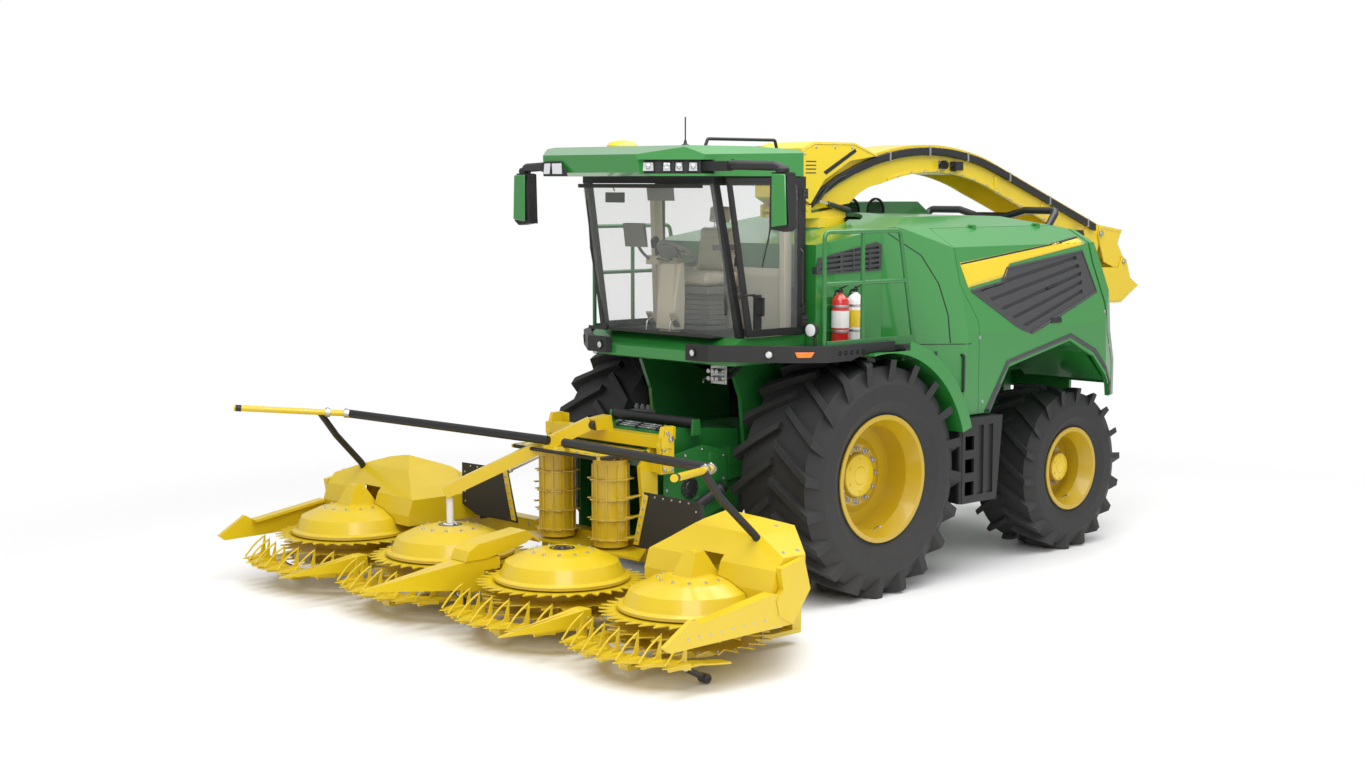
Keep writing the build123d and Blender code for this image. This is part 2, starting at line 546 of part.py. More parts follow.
def door():
    """Cab door: frame with its glass, hinged at its rear edge."""
    z0, z1 = CAB_FLOOR_Z + 12, CAB_TOP_Z - 12
    edge = [(CAB_REAR_X + 75, z0), (PILLAR_X - 5, z0), (PILLAR_X + PILLAR_LEAN_X - 20, z1),
            (CAB_REAR_X + 75, z1)]
    inner = [(CAB_REAR_X + 125, z0 + 60), (PILLAR_X - 55, z0 + 60),
             (PILLAR_X + PILLAR_LEAN_X - 72, z1 - 55), (CAB_REAR_X + 125, z1 - 55)]
    frame = xz(edge, DOOR_Y - 15, DOOR_Y + 15) - xz(inner, DOOR_Y - 20, DOOR_Y + 20)
    handle = join(block(900, 925, DOOR_Y + 10, DOOR_Y + 60, 2480, 2500),
                  block(900, 925, DOOR_Y + 50, DOOR_Y + 70, 2480, 2640),
                  block(900, 925, DOOR_Y + 10, DOOR_Y + 60, 2620, 2640))
    eyes = [join(upright(*DOOR_PIN, 18, z, z + 40), block(DOOR_PIN[0], CAB_REAR_X + 90, DOOR_PIN[1] - 8, DOOR_PIN[1] + 8, z, z + 40))
            - upright(*DOOR_PIN, 10 + RUN_FIT, z - 10, z + 50) for z in HINGE_ZS]
    bridge = block(880, 960, DOOR_Y - 10, DOOR_Y + 14, 2350, 2660)
    save("cab_door", join(frame, bridge & xz(edge, 0, 2000), handle, *eyes))
    glass = xz([(x + (SEAT_GAP if i in (0, 3) else -SEAT_GAP), z + (SEAT_GAP if i < 2 else -SEAT_GAP))
                for i, (x, z) in enumerate(inner)], DOOR_Y - 4, DOOR_Y + 4)
    save("door_glass", glass - block(870, 970, 0, 2000, 2300, 2670))


def cab_interior():
    """Driver's seat and the console with its steering wheel."""
    seat = join(block(380, 860, -260, 260, 2700, 2830),
                xz([(380, 2830), (520, 2830), (430, 3420), (330, 3420)], -250, 250) & block(345, 900, -300, 300, 2000, 3500),
                block(480, 760, -180, 180, CAB_FLOOR_Z + SEAT_GAP, 2700))
    save("seat", seat)
    column = join(xz([(1010, CAB_FLOOR_Z + SEAT_GAP), (1140, CAB_FLOOR_Z + SEAT_GAP), (1080, 2900), (1000, 2900)], -90, 90)
                  & block(0, 1100, -200, 200, 2000, 3500),
                  block(620, 900, -480, -300, 2880, 2960))
    armrest = block(480, 760, -480, -300, CAB_FLOOR_Z + SEAT_GAP, 2880)
    wheel = Pos(fx(960), 0, 2990) * Rot(0, -35, 0) * (Torus(185, 16) + Cylinder(20, 120) + Box(20, 360, 14))
    stalk = rod((1030, 0, 2860), (950, 0, 2985), 24)
    save("console", join(column, armrest, wheel, stalk))


# Platforms
def platforms():
    """Decks both sides, black bumpers, railings, mudguards and side steps."""
    plan = [(280, 1040 + SEAT_GAP), (280, 930 + SEAT_GAP), (1155, 930 + SEAT_GAP), (860, 1290), (660, DECK_Y),
            (-560, DECK_Y), (-560, 1040 + SEAT_GAP)]
    deck = xy(plan, DECK_Z - 45, DECK_Z)
    save("platforms", group(deck, mirror_y(deck)))
    strip = xy([(1300 + SEAT_GAP, 500), (1360, 520), (1340, 780), (900, 1350), (660, 1545), (-200, 1545),
                (-200, 1480), (640, 1480), (840, 1280), (1210, 880), (1300 + SEAT_GAP, 705)], 2100, 2240)
    strip = strip - across(0, FRONT_Z, 1118, 1000, 1700) - xy(plan, 2000, 2300)
    save("bumpers", group(strip, mirror_y(strip)))
    r = 19
    top, mid, low = DECK_Z + 1000, DECK_Z + 560, DECK_Z
    side = join(tube([(650, 1478, low), (650, 1478, top), (-330, 1478, top), (-530, 1478, low)], r, 60),
                rod((160, 1478, low), (160, 1478, top), r), rod((650, 1478, mid), (-430, 1478, mid), r))
    side = side - block(-900, 900, 1300, 1600, low - 200, low + SEAT_GAP)
    save("railings", group(side, mirror_y(side)))


def guards():
    """Front mudguards: rolled plates over the rear half of each front tyre."""
    w = WHEELS["front"]
    r0 = w["tyre_d"] / 2 + 55
    ring = Pos(fx(0), 1350, FRONT_Z) * Rot(90, 0, 0) * (Cylinder(r0 + 10, 580) - Cylinder(r0, 600))
    sector = xz([(0, FRONT_Z), (260, 2600), (-1500, 2600), (-1500, 1500)], 1000, 1700)
    plate = ring & sector
    skirt_out = Pos(fx(0), 1634, FRONT_Z) * Rot(90, 0, 0) * (Cylinder(r0 + 130, 12) - Cylinder(r0, 20))
    skirt = (skirt_out & sector) - block(-300, 1000, 1500, 1700, DECK_Z - 46, 2600)
    guard = join(plate & block(-2000, 2000, 0, 2000, 0, DECK_Z - 46), skirt)
    guard = guard.solids().sort_by(SortBy.VOLUME)[-1]
    guard = join(guard, block(-475, -425, 1080, 1440, 2045, 2100 - SEAT_GAP))
    save("mudguards", group(guard, mirror_y(guard)))


def side_steps():
    """Folded step box between the wheels on each side: a closed box, its recessed face and corner column."""
    box = []
    for s in BOTH:
        outline = [(-1110, 690), (-1620, 690), (-1700, 1470), (-1110, 1470)]
        body = xz(outline, *sorted((s * 1030, s * 1590)))
        hollow = xz(inset(outline, 0.9), *sorted((s * 1050, s * 1560)))
        face = [block(x, x + 90, *sorted((s * 1570, s * 1600)), 760, 1400) for x in (-1560, -1420)]
        steps = [block(-1280, -1150, *sorted((s * 1530, s * 1600)), z, z + 130) for z in (760, 970, 1180)]
        column = upright(-1130, s * 1545, 42, 690, 1470)
        mount = block(-1500, -1200, *sorted((s * (RAIL_OUT + SEAT_GAP), s * 1035)), 1170, 1300)
        box.append(join(body - hollow, mount, column).cut(*face, *steps))
    save("side_steps", group(*box))


def fittings():
    """Roof rail, mirrors with their arms, the spout's rest on the hood and the rear hitch beam."""
    parts = []
    for s in BOTH:
        arm = join(tube([(1500, s * 860, 3750), (1460, s * 1250, 3760), (1360, s * 1640, 3750),
                         (1350, s * 1650, 3650)], 40, 70),
                   bar((1530, s * 900, 3752), (1490, s * 1180, 3752), 90, 80))
        case = yz([(s * 1540, 3240), (s * 1560, 3700), (s * 1740, 3700), (s * 1760, 3260), (s * 1700, 3220)],
                  1290, 1400) & xz([(1290, 3220), (1310, 3700), (1380, 3700), (1400, 3600), (1390, 3220)], -1800, 1800)
        parts.append(join(arm, case))
    rail = tube([(1300, 700, ROOF_TOP_Z - 4), (1270, 700, 3985), (450, 700, 3985), (420, 700, 3890)], 14, 25)
    aerial = rod((1150, 300, ROOF_TOP_Z - 3), (1150, 300, 4180), 6)
    roof = roof_shell()
    save("roof_gear", group(*[piece - roof for piece in (*parts, rail, aerial)]))
    y0 = 820
    rest = tube([(-3330, -y0, 3080), (-3560, -y0, 3330), (-3560, -420, 3330), (-3560, -200, 3270),
                 (-3560, 200, 3270), (-3560, 420, 3330), (-3560, y0, 3330), (-3330, y0, 3080)], 38, 55)
    save("spout_rest", rest - Pos(0, 0, SEAT_GAP) * rear_form())
    hitch = join(block(-4440, -4190, -900, 900, 720, 1000), block(-4200, RAIL_END - SEAT_GAP, -150, 150, 700, 900),
                 block(-4600, -4430, -60, 60, 760, 790), block(-4600, -4430, -60, 60, 850, 880))
    hitch = hitch - upright(-4530, 0, 25, 600, 1000)
    save("rear_hitch", hitch)


# Spout
def turret_ring():
    """Fixed ring that the spout turns in, set in the hoods."""
    ring = upright(TURRET_X, 0, TURRET_R + 50, 2750, TURRET_Z)
    return ring - upright(TURRET_X, 0, 250 + RUN_FIT, 2700, TURRET_Z + 10)


def duct_outline(wall):
    """The arched duct's side outline, taken in by a wall."""
    s = wall
    top = [ThreePointArc((fx(-400 - s), 3345), (fx(-640), 3610 - s), (fx(-1330), 3870 - s)),
           ThreePointArc((fx(-1330), 3870 - s), (fx(-2250), 3985 - s), (fx(-3200), 3840 - s)),
           Line((fx(-3200), 3840 - s), (fx(-5230), 3130 - s))]
    end = Line((fx(-5230), 3130 - s), (fx(-5140), 2865 + s))
    low = [Line((fx(-5140), 2865 + s), (fx(-3150), 3575 + s)),
           ThreePointArc((fx(-3150), 3575 + s), (fx(-2240), 3715 + s), (fx(-1500), 3600 + s)),
           ThreePointArc((fx(-1500), 3600 + s), (fx(-1230), 3530 + s), (fx(-1060 + s), 3420))]
    throat = Line((fx(-1060 + s), 3420), (fx(-400 - s), 3345))
    return make_face([*top, end, *low, throat])


def wide(face, half):
    """Extrude a side outline both ways from the middle plane."""
    return Plane.XZ * extrude(face, amount=half, both=True)


def spout():
    """Turning base, arched duct with its cowl, and the two-piece flap."""
    box_side = [(-420, 3285), (-420, 3325), (-1090, 3400), (-1090, 3285)]
    plate = xz(box_side, -SPOUT_HALF - 45, SPOUT_HALF + 45)
    plate = plate & join(upright(TURRET_X, 0, TURRET_R + 10, 3000, 3500), block(TURRET_X, -300, -400, 400, 3000, 3500))
    base = join(upright(TURRET_X, 0, 250, 3080, TURRET_Z + 40),
                upright(TURRET_X, 0, TURRET_R, TURRET_Z + SEAT_GAP, 3290), plate)
    base = base - upright(TURRET_X, 0, 215, 2900, 3500) \
        - block(-1060, -500, -SPOUT_HALF + 10, SPOUT_HALF - 10, 3290, 3500)
    lugs = [xz([(-480, 3285), (-380, 3285), (-380, 3410), (-480, 3410)], s * 266 - 14, s * 266 + 14) for s in BOTH]
    base = join(base, *lugs) - across(SPOUT_PIVOT_X, SPOUT_PIVOT_Z, 20 + RUN_FIT, -400, 400)
    save("spout_base", base)
    hollow = wide(duct_outline(SPOUT_WALL), SPOUT_HALF - SPOUT_WALL)
    mouth = xz([(-5400, 3114), (-5200, 3114), (-3200, 3620), (-2700, 3700), (-1700, 3650), (-1700, 3400), (-5400, 2700)],
               -SPOUT_HALF + SPOUT_WALL, SPOUT_HALF - SPOUT_WALL)
    throat = xz([(-420, 3310), (-1040, 3380), (-1000, 3520), (-460, 3460)], -SPOUT_HALF + SPOUT_WALL, SPOUT_HALF - SPOUT_WALL)
    cowl = xz([(-330, 3480), (-330, 3930), (-500, 3990), (-1050, 3990), (-1400, 3870), (-1000, 3820), (-640, 3640),
               (-450, 3420)], -300, 300)
    ears = [xz([(-475, 3340), (-390, 3340), (-390, 3470), (-475, 3470)], s * 242 - 7, s * 242 + 7) for s in BOTH]
    pin = [across(SPOUT_PIVOT_X, SPOUT_PIVOT_Z, 20, *sorted((s * 236, s * 285))) for s in BOTH]
    arch = join(wide(duct_outline(0), SPOUT_HALF), cowl, *ears) - hollow - mouth - throat
    arch = join(arch, *pin) - across(FLAP_X, FLAP_Z, 16 + RUN_FIT, -400, 400)
    seam = SPOUT_HALF - SPOUT_WALL
    sides = [arch & block(-5400, 0, *sorted((s * seam, s * 400)), 2600, 4100) for s in BOTH]
    strips = arch & block(-5400, 0, SEAT_GAP - seam, seam - SEAT_GAP, 2600, 4100)
    save("spout_arch", group(*sides, strips))


def spout_flap():
    """Two chute pieces that hang from the spout's end."""
    wall = 12
    y1 = SPOUT_HALF + 5 + wall
    upper_side = [(-5130, 3040), (-5170, 3150), (-5580, 3095), (-5500, 2950), (-5640, 2760), (-5560, 2640), (-5250, 2750)]
    hollow = [(-5000, 2990), (-5120, 3139), (-5555, 3082), (-5486, 2950), (-5625, 2764), (-5560, 2560), (-5250, 2560),
              (-5000, 2700)]
    upper = xz(upper_side, -y1, y1) - xz(hollow, -y1 + wall, y1 - wall) \
        - block(-5245, -5000, -y1 + wall, y1 - wall, 2600, 3200)
    pin = [across(FLAP_X, FLAP_Z, 16, *sorted((s * (SPOUT_HALF - 10), s * (y1 + 10)))) for s in BOTH]
    save("spout_flap", join(upper, *pin) - across(FLAP2_X, FLAP2_Z, 14 + RUN_FIT, -400, 400))
    y2 = y1 + 5 + wall
    lower_side = [(-5580, 2800), (-5520, 2680), (-5200, 2690), (-5130, 2500), (-5130, 2300), (-5560, 2290), (-REAR_REACH, 2470),
                  (-5740, 2560), (-5660, 2760)]
    lower_hollow = [(-5590, 2900), (-5500, 2700), (-5000, 2720), (-5000, 2200), (-5550, 2200), (-5570, 2315),
                    (-5850, 2470), (-5728, 2550), (-5646, 2760), (-5640, 2900)]
    lower = xz(lower_side, -y2, y2) - xz(lower_hollow, -y2 + wall, y2 - wall) \
        - block(-6000, -5000, -y2 + wall, y2 - wall, 2740, 3200)
    pin2 = [across(FLAP2_X, FLAP2_Z, 14, *sorted((s * (y1 - wall), s * (y2 + 8)))) for s in BOTH]
    save("spout_flap_tip", join(lower, *pin2))


# Header
def toothed_disc(root, tip, teeth, z, thick, lean=0.65):
    """Flat disc with raked saw teeth."""
    pts = []
    for i in range(teeth):
        a = 360 / teeth * i
        for r, share in ((root, 0.0), (tip, lean), (root, 0.8)):
            t = radians(a + 360 / teeth * share)
            pts.append((r * cos(t), r * sin(t)))
    return Pos(0, 0, z) * extrude(make_face(Polyline(*pts, close=True)), amount=thick)


def rotors():
    """Four crop rotors: a drum with three toothed discs, turning on a fixed shaft."""
    for i in range(4):
        hand = 1 if i < 2 else -1
        discs = [toothed_disc(root, tip, n, z, 10) for root, tip, n, z in
                 ((590, ROTOR_TIP_R, 36, 440), (540, 650, 24, 330), (500, 620, 24, 230))]
        drum = Pos(0, 0, 330) * (Cylinder(340, 260) - Cylinder(ROTOR_SHAFT_R + RUN_FIT, 300))
        bore = Cylinder(ROTOR_SHAFT_R + RUN_FIT, 2000)
        shape = join(drum, *discs) - bore
        if hand < 0:
            shape = mirror_y(shape)
        save(f"rotor_{i + 1}", Pos(fx(ROTOR_X), (i - 1.5) * ROTOR_PITCH, 0) * shape)


def dome_form(by):
    """A rotor cover's outer form, grown by a distance."""
    base = DOME_BASE_Z - 8 - max(by, 0)
    line = [(0, base), (DOME_R + by, base), (DOME_R + by, DOME_BASE_Z + 16 + by),
            (505 + by, DOME_BASE_Z + 34 + by), (455 + by, 606 + by), (300, 674 + by), (160, DOME_TOP_Z - 12 + by),
            (0, DOME_TOP_Z - 8 + by)]
    return revolve(make_face(Polyline(*[(r, 0, z) for r, z in line], close=True)), Axis.Z)


def domes():
    """Fixed rotor covers, each on its shaft, with gearboxes under the rotors."""
    made = []
    open_below = Pos(0, 0, DOME_BASE_Z - 20) * Cylinder(DOME_R - 12, 40)
    for i in range(4):
        y = (i - 1.5) * ROTOR_PITCH
        dome = dome_form(0) - dome_form(-12) - open_below
        shaft = Pos(0, 0, 423) * Cylinder(ROTOR_SHAFT_R, 490)
        box = Pos(0, 0, 155 + SEAT_GAP) * Cylinder(230, 60)
        collar = Pos(0, 0, 666) * Cylinder(115, 64)
        piece = join(dome, shaft, box, collar)
        if i in (0, 3):
            side = extrude(Rot(90, 0, 0) * make_face(Polyline((-230, 660), (120, 660), (0, 880), (-90, 880), close=True)),
                           amount=110, both=True)
            front = extrude(Plane.YZ * make_face(Polyline((-110, 660), (110, 660), (60, 880), (-60, 880), close=True)),
                            amount=400, both=True)
            piece = join(piece, side & front)
        else:
            piece = piece - Pos(0, 0, DOME_TOP_Z) * Cylinder(75, 70)
        made.append(Pos(fx(ROTOR_X), y, 0) * piece)
    return made


def header_frame():
    """Main beam with keels, drum housing, coupling bracket and the stay arm."""
    beam = block(BEAM_X, 1900, -BEAM_HALF, BEAM_HALF, 420, 600)
    keels = [block(1800, 2880, y - 60, y + 60, 90, 125) for y in ROTOR_YS]
    tails = {y: 3400 if y else 3150 for y in DIVIDER_YS}
    keels += [block(1800, x, y - 35, y + 35, 90, 125) for y, x in tails.items()]
    drops = [block(1780, 1880, y - 55, y + 55, 90, 430) for y in ROTOR_YS + DIVIDER_YS]
    posts = [block(x - 50, x, y - 35, y + 35, 100, (265 if y else 300) - SEAT_GAP) for y, x in tails.items()]
    inside = HEADER_HALF - 50 - SEAT_GAP
    outer_arm = [(1780, 2190), (1895, 2190), (2470, 2840), (2740, 2860), (2740, inside), (2480, inside), (1780, 2295)]
    ends = [xy([(x, s * y) for x, y in outer_arm], 480, 560) for s in BOTH]
    walls = [xz([(BEAM_X, 590), (1900, 590), (1960, 1240), (BEAM_X, 1480)], *sorted((s * 560, s * 600))) for s in BOTH]
    cross = block(1740, 1860, -760, 760, 1400, 1500)
    brackets = [xz([(1700, 1180), (1850, 1180), (1870, 1420), (1820, 1580), (1700, 1580)], *sorted((s * 700, s * 740)))
                for s in BOTH]
    knees = [block(1770, 1840, *sorted((s * 590, s * 710)), 1190, 1290) for s in BOTH]
    tray = block(1790, 2400, -570, 570, 1335, 1365)
    floor = xy([(1890, -600), (2250, -900), (2250, 900), (1890, 600)], 520, 540)
    frame = join(beam, *keels, *drops, *posts, *ends, *walls, cross, *brackets, *knees, tray, floor)
    feet = [block(2340, 2400, *sorted((s * 80, s * 140)), 1365 + SEAT_GAP, 1400) for s in BOTH]
    tower = xz([(1780, 1500 + SEAT_GAP), (1960, 1500 + SEAT_GAP), (1980, 1600), (1800, 1620)], -60, 60)
    arm = bar((1960, -30, 1560), (3000, -ROTOR_PITCH / 2, 985), 70, 110) - tower
    tie = upright(ROTOR_X, -ROTOR_PITCH / 2, 26, DOME_TOP_Z - 35 + SEAT_GAP, 990) - arm
    return frame, [tower, arm, tie, *feet]


def feed_drums():
    """Two upright feed drums with paddles in stacked rings."""
    for s, name in ((1, "left"), (-1, "right")):
        drum = upright(FEED_DRUM_X + 120, s * FEED_DRUM_Y, FEED_DRUM_R, 560, 1300)
        flights = []
        for z in (620, 790, 960, 1130):
            disc = toothed_disc(FEED_DRUM_R + 20, FEED_DRUM_R + 50, 10, z, 10)
            flights.append(Pos(fx(FEED_DRUM_X + 120), s * FEED_DRUM_Y, 0) * disc)
        shape = join(drum, *flights) - upright(FEED_DRUM_X + 120, s * FEED_DRUM_Y, 40 + RUN_FIT, 0, 2000)
        save(f"feed_drum_{name}", shape)


def feed_shafts():
    """Fixed shafts of the feed drums, from floor to tray."""
    return [upright(FEED_DRUM_X + 120, s * FEED_DRUM_Y, 40, 530, 1345) for s in BOTH]


def dart(tip, tail, width, height, share=0.08):
    """Pointed crop finger: a long pyramid from a rectangular tail to its small tip."""
    faces = []
    for (x, y, z), part in ((tail, 1.0), (tip, share)):
        face = Plane.YZ * make_face(Rectangle(width * part, height * part))
        faces.append(Pos(fx(x), y, z) * face)
    return loft(faces, ruled=True)


# Crop fingers of one rotor: offset from the rotor's line, reach ahead of it, head's length and width
FINGERS = [(-560, 810, 220, 130), (-370, 890, 230, 140), (-185, 940, 230, 145), (0, 960, 230, 145),
           (185, 940, 230, 145), (370, 890, 230, 140), (560, 810, 220, 130)]


def finger(y, reach, length, width):
    """One crop finger: flat stem, arrow head and the upright blade behind the head."""
    root = (640 ** 2 - y ** 2) ** 0.5
    stem = xy([(ROTOR_X + root, y - 22), (ROTOR_X + reach - 60, y - 12), (ROTOR_X + reach - 60, y + 12),
               (ROTOR_X + root, y + 22)], 193, 213)
    tail = reach - length
    head = dart((ROTOR_X + reach, y, 225), (ROTOR_X + tail, y, 218), width, 50)
    blade = xz([(ROTOR_X + tail - 15, 205), (ROTOR_X + tail + 120, 205),
                              (ROTOR_X + tail + 30, 270), (ROTOR_X + tail - 20, 425)], y - 5, y + 5)
    return join(stem, head, blade)


def fingers():
    """Front guards: a curved plate under each rotor's front with its pointed crop fingers."""
    sets = []
    for y0 in ROTOR_YS:
        ring = Pos(fx(ROTOR_X), y0, 200) * (Cylinder(730, 14) - Cylinder(620, 20))
        sector = xy([(ROTOR_X + 250, y0 - 735), (ROTOR_X + 800, y0 - 735), (ROTOR_X + 800, y0 + 735),
                     (ROTOR_X + 250, y0 + 735)], 100, 300)
        darts = [Pos(0, y0, 0) * finger(*row) for row in FINGERS]
        clear = join(upright(ROTOR_X, y0, 640, 215, 600), upright(ROTOR_X, y0, 705, 290, 600))
        tail = block(2880 + SEAT_GAP, ROTOR_X + 670, y0 - 50, y0 + 50, 95, 125)
        post = block(ROTOR_X + 640, ROTOR_X + 680, y0 - 50, y0 + 50, 110, 200)
        sets.append(join(ring & sector, *darts, tail, post) - clear)
    return sets


def dividers():
    """Middle, inner and end crop dividers."""
    middle = join(dart((FRONT_REACH, 0, 440), (3350, 0, 440), 190, 250), block(3060, 3352, -95, 95, 300, 565))
    flap = join(xz([(3420, 560), (3380, 640), (3290, 690), (2790, 745), (2640, 640), (2640, 622), (2790, 725),
                    (3280, 668), (3340, 620), (3360, 560)], -105, 105),
                *[xz([(3380, 560), (3290, 688), (2790, 743), (2700, 690), (2790, 640), (3200, 560)],
                     *sorted((s * 97, s * 105))) for s in BOTH])
    middle = join(middle, flap)
    inner = []
    for s in BOTH:
        y = s * ROTOR_PITCH
        inner.append(join(dart((4180, y, 300), (3400, y, 330), 130, 130), block(3330, 3402, y - 65, y + 65, 265, 395)))
    channel = [(3900, 430), (3840, 385), (2620, 400), (2500, 550), (2790, 650), (3540, 540), (3630, 590)]
    plate = [(2790, 600), (2720, 670), (2750, 830), (2500, 880), (2430, 640), (2500, 550), (2620, 400), (2760, 480)]
    ends = [join(xz(channel, *sorted((s * (HEADER_HALF - 50), s * (HEADER_HALF - 8)))),
                 xz(plate, *sorted((s * (HEADER_HALF - 50), s * HEADER_HALF))),
                 xz([(3560, 545), (2810, 655), (2800, 630), (3550, 520)], *sorted((s * (HEADER_HALF - 110), s * (HEADER_HALF - 8)))))
            for s in BOTH]
    return middle, inner, ends


def wing_form(by):
    """Left wing's cover behind the outer rotor, taken in by a wall: high at the back, falling to the dome."""
    front = [(1560 + by, 560 - by), (1560 + by, 790 - by), (1700, 880 - by), (1930, 1040 - by), (2080, 1115 - by),
             (2330, 1080 - by), (2600, 1000 - by), (2925 - by, 890 - by), (2925 - by, 560 - by)]
    back = 1900 + SEAT_GAP + by
    side = [(back, 560 - by), (back, 840 - by), (2080, 1000 - by), (2400, 1115 - by), (2560, 1000 - by),
            (2740, 800 - by), (2790 - by, 650 - by), (2790 - by, 560 - by)]
    plan = [(back, 1500), (back, 2230 - by), (2430 - by, 2925 - by), (3000, 2925 - by), (3000, 1500)]
    return yz(front, 1800, 3000) & xz(side, 1500, 2990) & xy(plan, 500, 1200)


def header():
    """Everything that rides on the feeder house."""
    dome_list = domes()
    frame, arm_pieces = header_frame()
    frame = join(frame, *feed_shafts())
    finger_sets = fingers()
    middle, inner, ends = dividers()
    save("header_frame", group(frame, *arm_pieces))
    save("rotor_domes", group(*dome_list))
    save("crop_fingers", group(*finger_sets))
    keep_out = [upright(ROTOR_X, (i - 1.5) * ROTOR_PITCH, ROTOR_TIP_R + 20, 0, 462) for i in range(4)]
    save("dividers", group(middle.cut(*keep_out), *[p.cut(*keep_out) for p in inner], *ends))
    form = wing_form(0)
    outer_dome = Pos(fx(ROTOR_X), 1.5 * ROTOR_PITCH, 0) * dome_form(4)
    fin_room = block(ROTOR_X - 240, 3000, 1.5 * ROTOR_PITCH - 120, 1.5 * ROTOR_PITCH + 120, 600, 1000)
    hood = form - wing_form(6) - outer_dome - fin_room
    hood = hood.solids().sort_by(SortBy.VOLUME)[-1]
    save("wing_hoods", group(hood, mirror_y(hood)))
    edge = 1560 - SEAT_GAP
    flap = yz([(760, 620), (900, 1090), (edge, 1080), (edge, 700), (1350, 620)], 2180, 2190)
    flap = join(flap, block(1900 + SEAT_GAP, 2185, 1300, 1310, 590, 1000))
    save("rubber_flaps", group(flap, mirror_y(flap)))
    bars, bar_ends = [], []
    for s in BOTH:
        cross = [rod((2370, s * 110, 1400 + 38), (2850, s * 2370, 1510), r) for r in (38, 38 + SEAT_GAP)]
        leg = [tube([(3070, s * 2510, 1515), (2900, s * 2520, 1300), (2600, s * 2560, 1010), (2520, s * 2600, 900)], r, 120)
               for r in (30, 30 + SEAT_GAP)]
        bars += [cross[0] - form - mirror_y(form), leg[0] - cross[1] - form - mirror_y(form)]
        bar_ends.append(rod((2840, s * 2362, 1510), (3740, s * 2900, 1590), 28) - cross[1] - leg[1])
    save("guide_bars", group(*bars))
    save("guide_bar_ends", group(*bar_ends))
    skids = []
    for y in (-2650, 0, 2650):
        z = 301.1 if y == 0 else 193 - 24 - SEAT_GAP
        skids.append(join(across(3440, z, 24, y - 40, y + 40), rod((3440, y, z), (3200, y, 42), 24),
                          across(3200, 42, 36, y - 35, y + 35)))
    save("sensor_skids", group(*skids))
    front = BEAM_X - SEAT_GAP
    feeder = xz([(620, 620), (620, 1440), (1300, 1500), (front, 1380), (front, 420), (1500, 380)], -FEEDER_HALF, FEEDER_HALF)
    feeder = feeder - xz([(600, 680), (600, 1300), (1800, 1200), (1800, 480)], -FEEDER_HALF + 30, FEEDER_HALF - 30)
    arms = [xz([(430, 1080), (430, 1220), (800, 1300), (800, 1000)], *sorted((s * (FEEDER_HALF - 1), s * 500))) for s in BOTH]
    pins = [across(LIFT_X, LIFT_Z, 55, *sorted((s * 490, s * 598))) for s in BOTH]
    save("feeder_house", join(feeder, *arms, *pins))


def main():
    """Build every node."""
    os.makedirs("parts", exist_ok=True)
    wheels()
    save("chassis", chassis())
    save("front_axle", front_axle())
    save("rear_axle", rear_axle())
    left = knuckle()
    save("knuckle_left", left)
    save("knuckle_right", mirror_y(left))
    body()
    save("mid_hood", mid_hood())
    save("intake_housing", intake())
    save("turret_ring", turret_ring())
    save("engine", block(-3250, -1950, -380, 380, 1870 + SEAT_GAP, 2950))
    cab()
    door()
    cab_interior()
    platforms()
    guards()
    side_steps()
    fittings()
    spout()
    spout_flap()
    rotors()
    feed_drums()
    header()


main()
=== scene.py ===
"""Looks of a self-propelled forage harvester: finishes, small parts, camera, light and floor.

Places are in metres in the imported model's frame: +X forward, +Y to the driver's left, +Z up.
A place along the machine is written from the front axle, through at(x, y, z).
"""

import logging
import math
from collections.abc import Sequence
from dataclasses import dataclass
from enum import Enum
from typing import ClassVar

import bmesh
import bpy
from mathutils import Matrix, Vector
from mathutils.bvhtree import BVHTree


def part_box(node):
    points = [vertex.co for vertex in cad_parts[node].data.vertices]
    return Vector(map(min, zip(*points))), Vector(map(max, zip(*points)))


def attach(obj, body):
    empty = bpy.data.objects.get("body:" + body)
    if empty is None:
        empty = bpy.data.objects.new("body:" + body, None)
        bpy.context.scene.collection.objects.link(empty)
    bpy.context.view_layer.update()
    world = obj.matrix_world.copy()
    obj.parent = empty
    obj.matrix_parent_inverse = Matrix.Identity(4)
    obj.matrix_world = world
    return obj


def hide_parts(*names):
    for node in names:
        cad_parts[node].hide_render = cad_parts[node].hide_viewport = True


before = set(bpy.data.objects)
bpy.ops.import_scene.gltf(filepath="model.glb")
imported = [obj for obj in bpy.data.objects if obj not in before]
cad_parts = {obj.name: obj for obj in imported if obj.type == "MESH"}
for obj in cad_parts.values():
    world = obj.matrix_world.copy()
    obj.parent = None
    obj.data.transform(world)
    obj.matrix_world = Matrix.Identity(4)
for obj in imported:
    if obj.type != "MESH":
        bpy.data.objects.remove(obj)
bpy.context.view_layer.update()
LOG = logging.getLogger("harvester")

Place = Sequence[float]
Places = Sequence[Place]

X, Y, Z = 0, 1, 2
BOTH = (1, -1)
SIDE_NAMES = {1: "left", -1: "right"}
UP = Vector((0, 0, 1))
LEFT = Vector((0, 1, 0))
AHEAD = Vector((1, 0, 0))


def node_middle(node: str) -> Vector:
    """Middle of a CAD node's box.

    Args:
        node: name of the CAD node.

    Returns:
        The middle, as a Vector in metres.
    """
    low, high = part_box(node)
    return (low + high) / 2


FRONT_AXLE = node_middle("front_rim_left").x
AXLE = Vector((FRONT_AXLE, 0, 0))


def at(x: float, y: float, z: float) -> Vector:
    """A place given from the front axle.

    Args:
        x: distance ahead of the front axle.
        y: distance to the driver's left.
        z: height above the ground.

    Returns:
        The place in the model's frame.
    """
    return Vector((FRONT_AXLE + x, y, z))


# Finishes


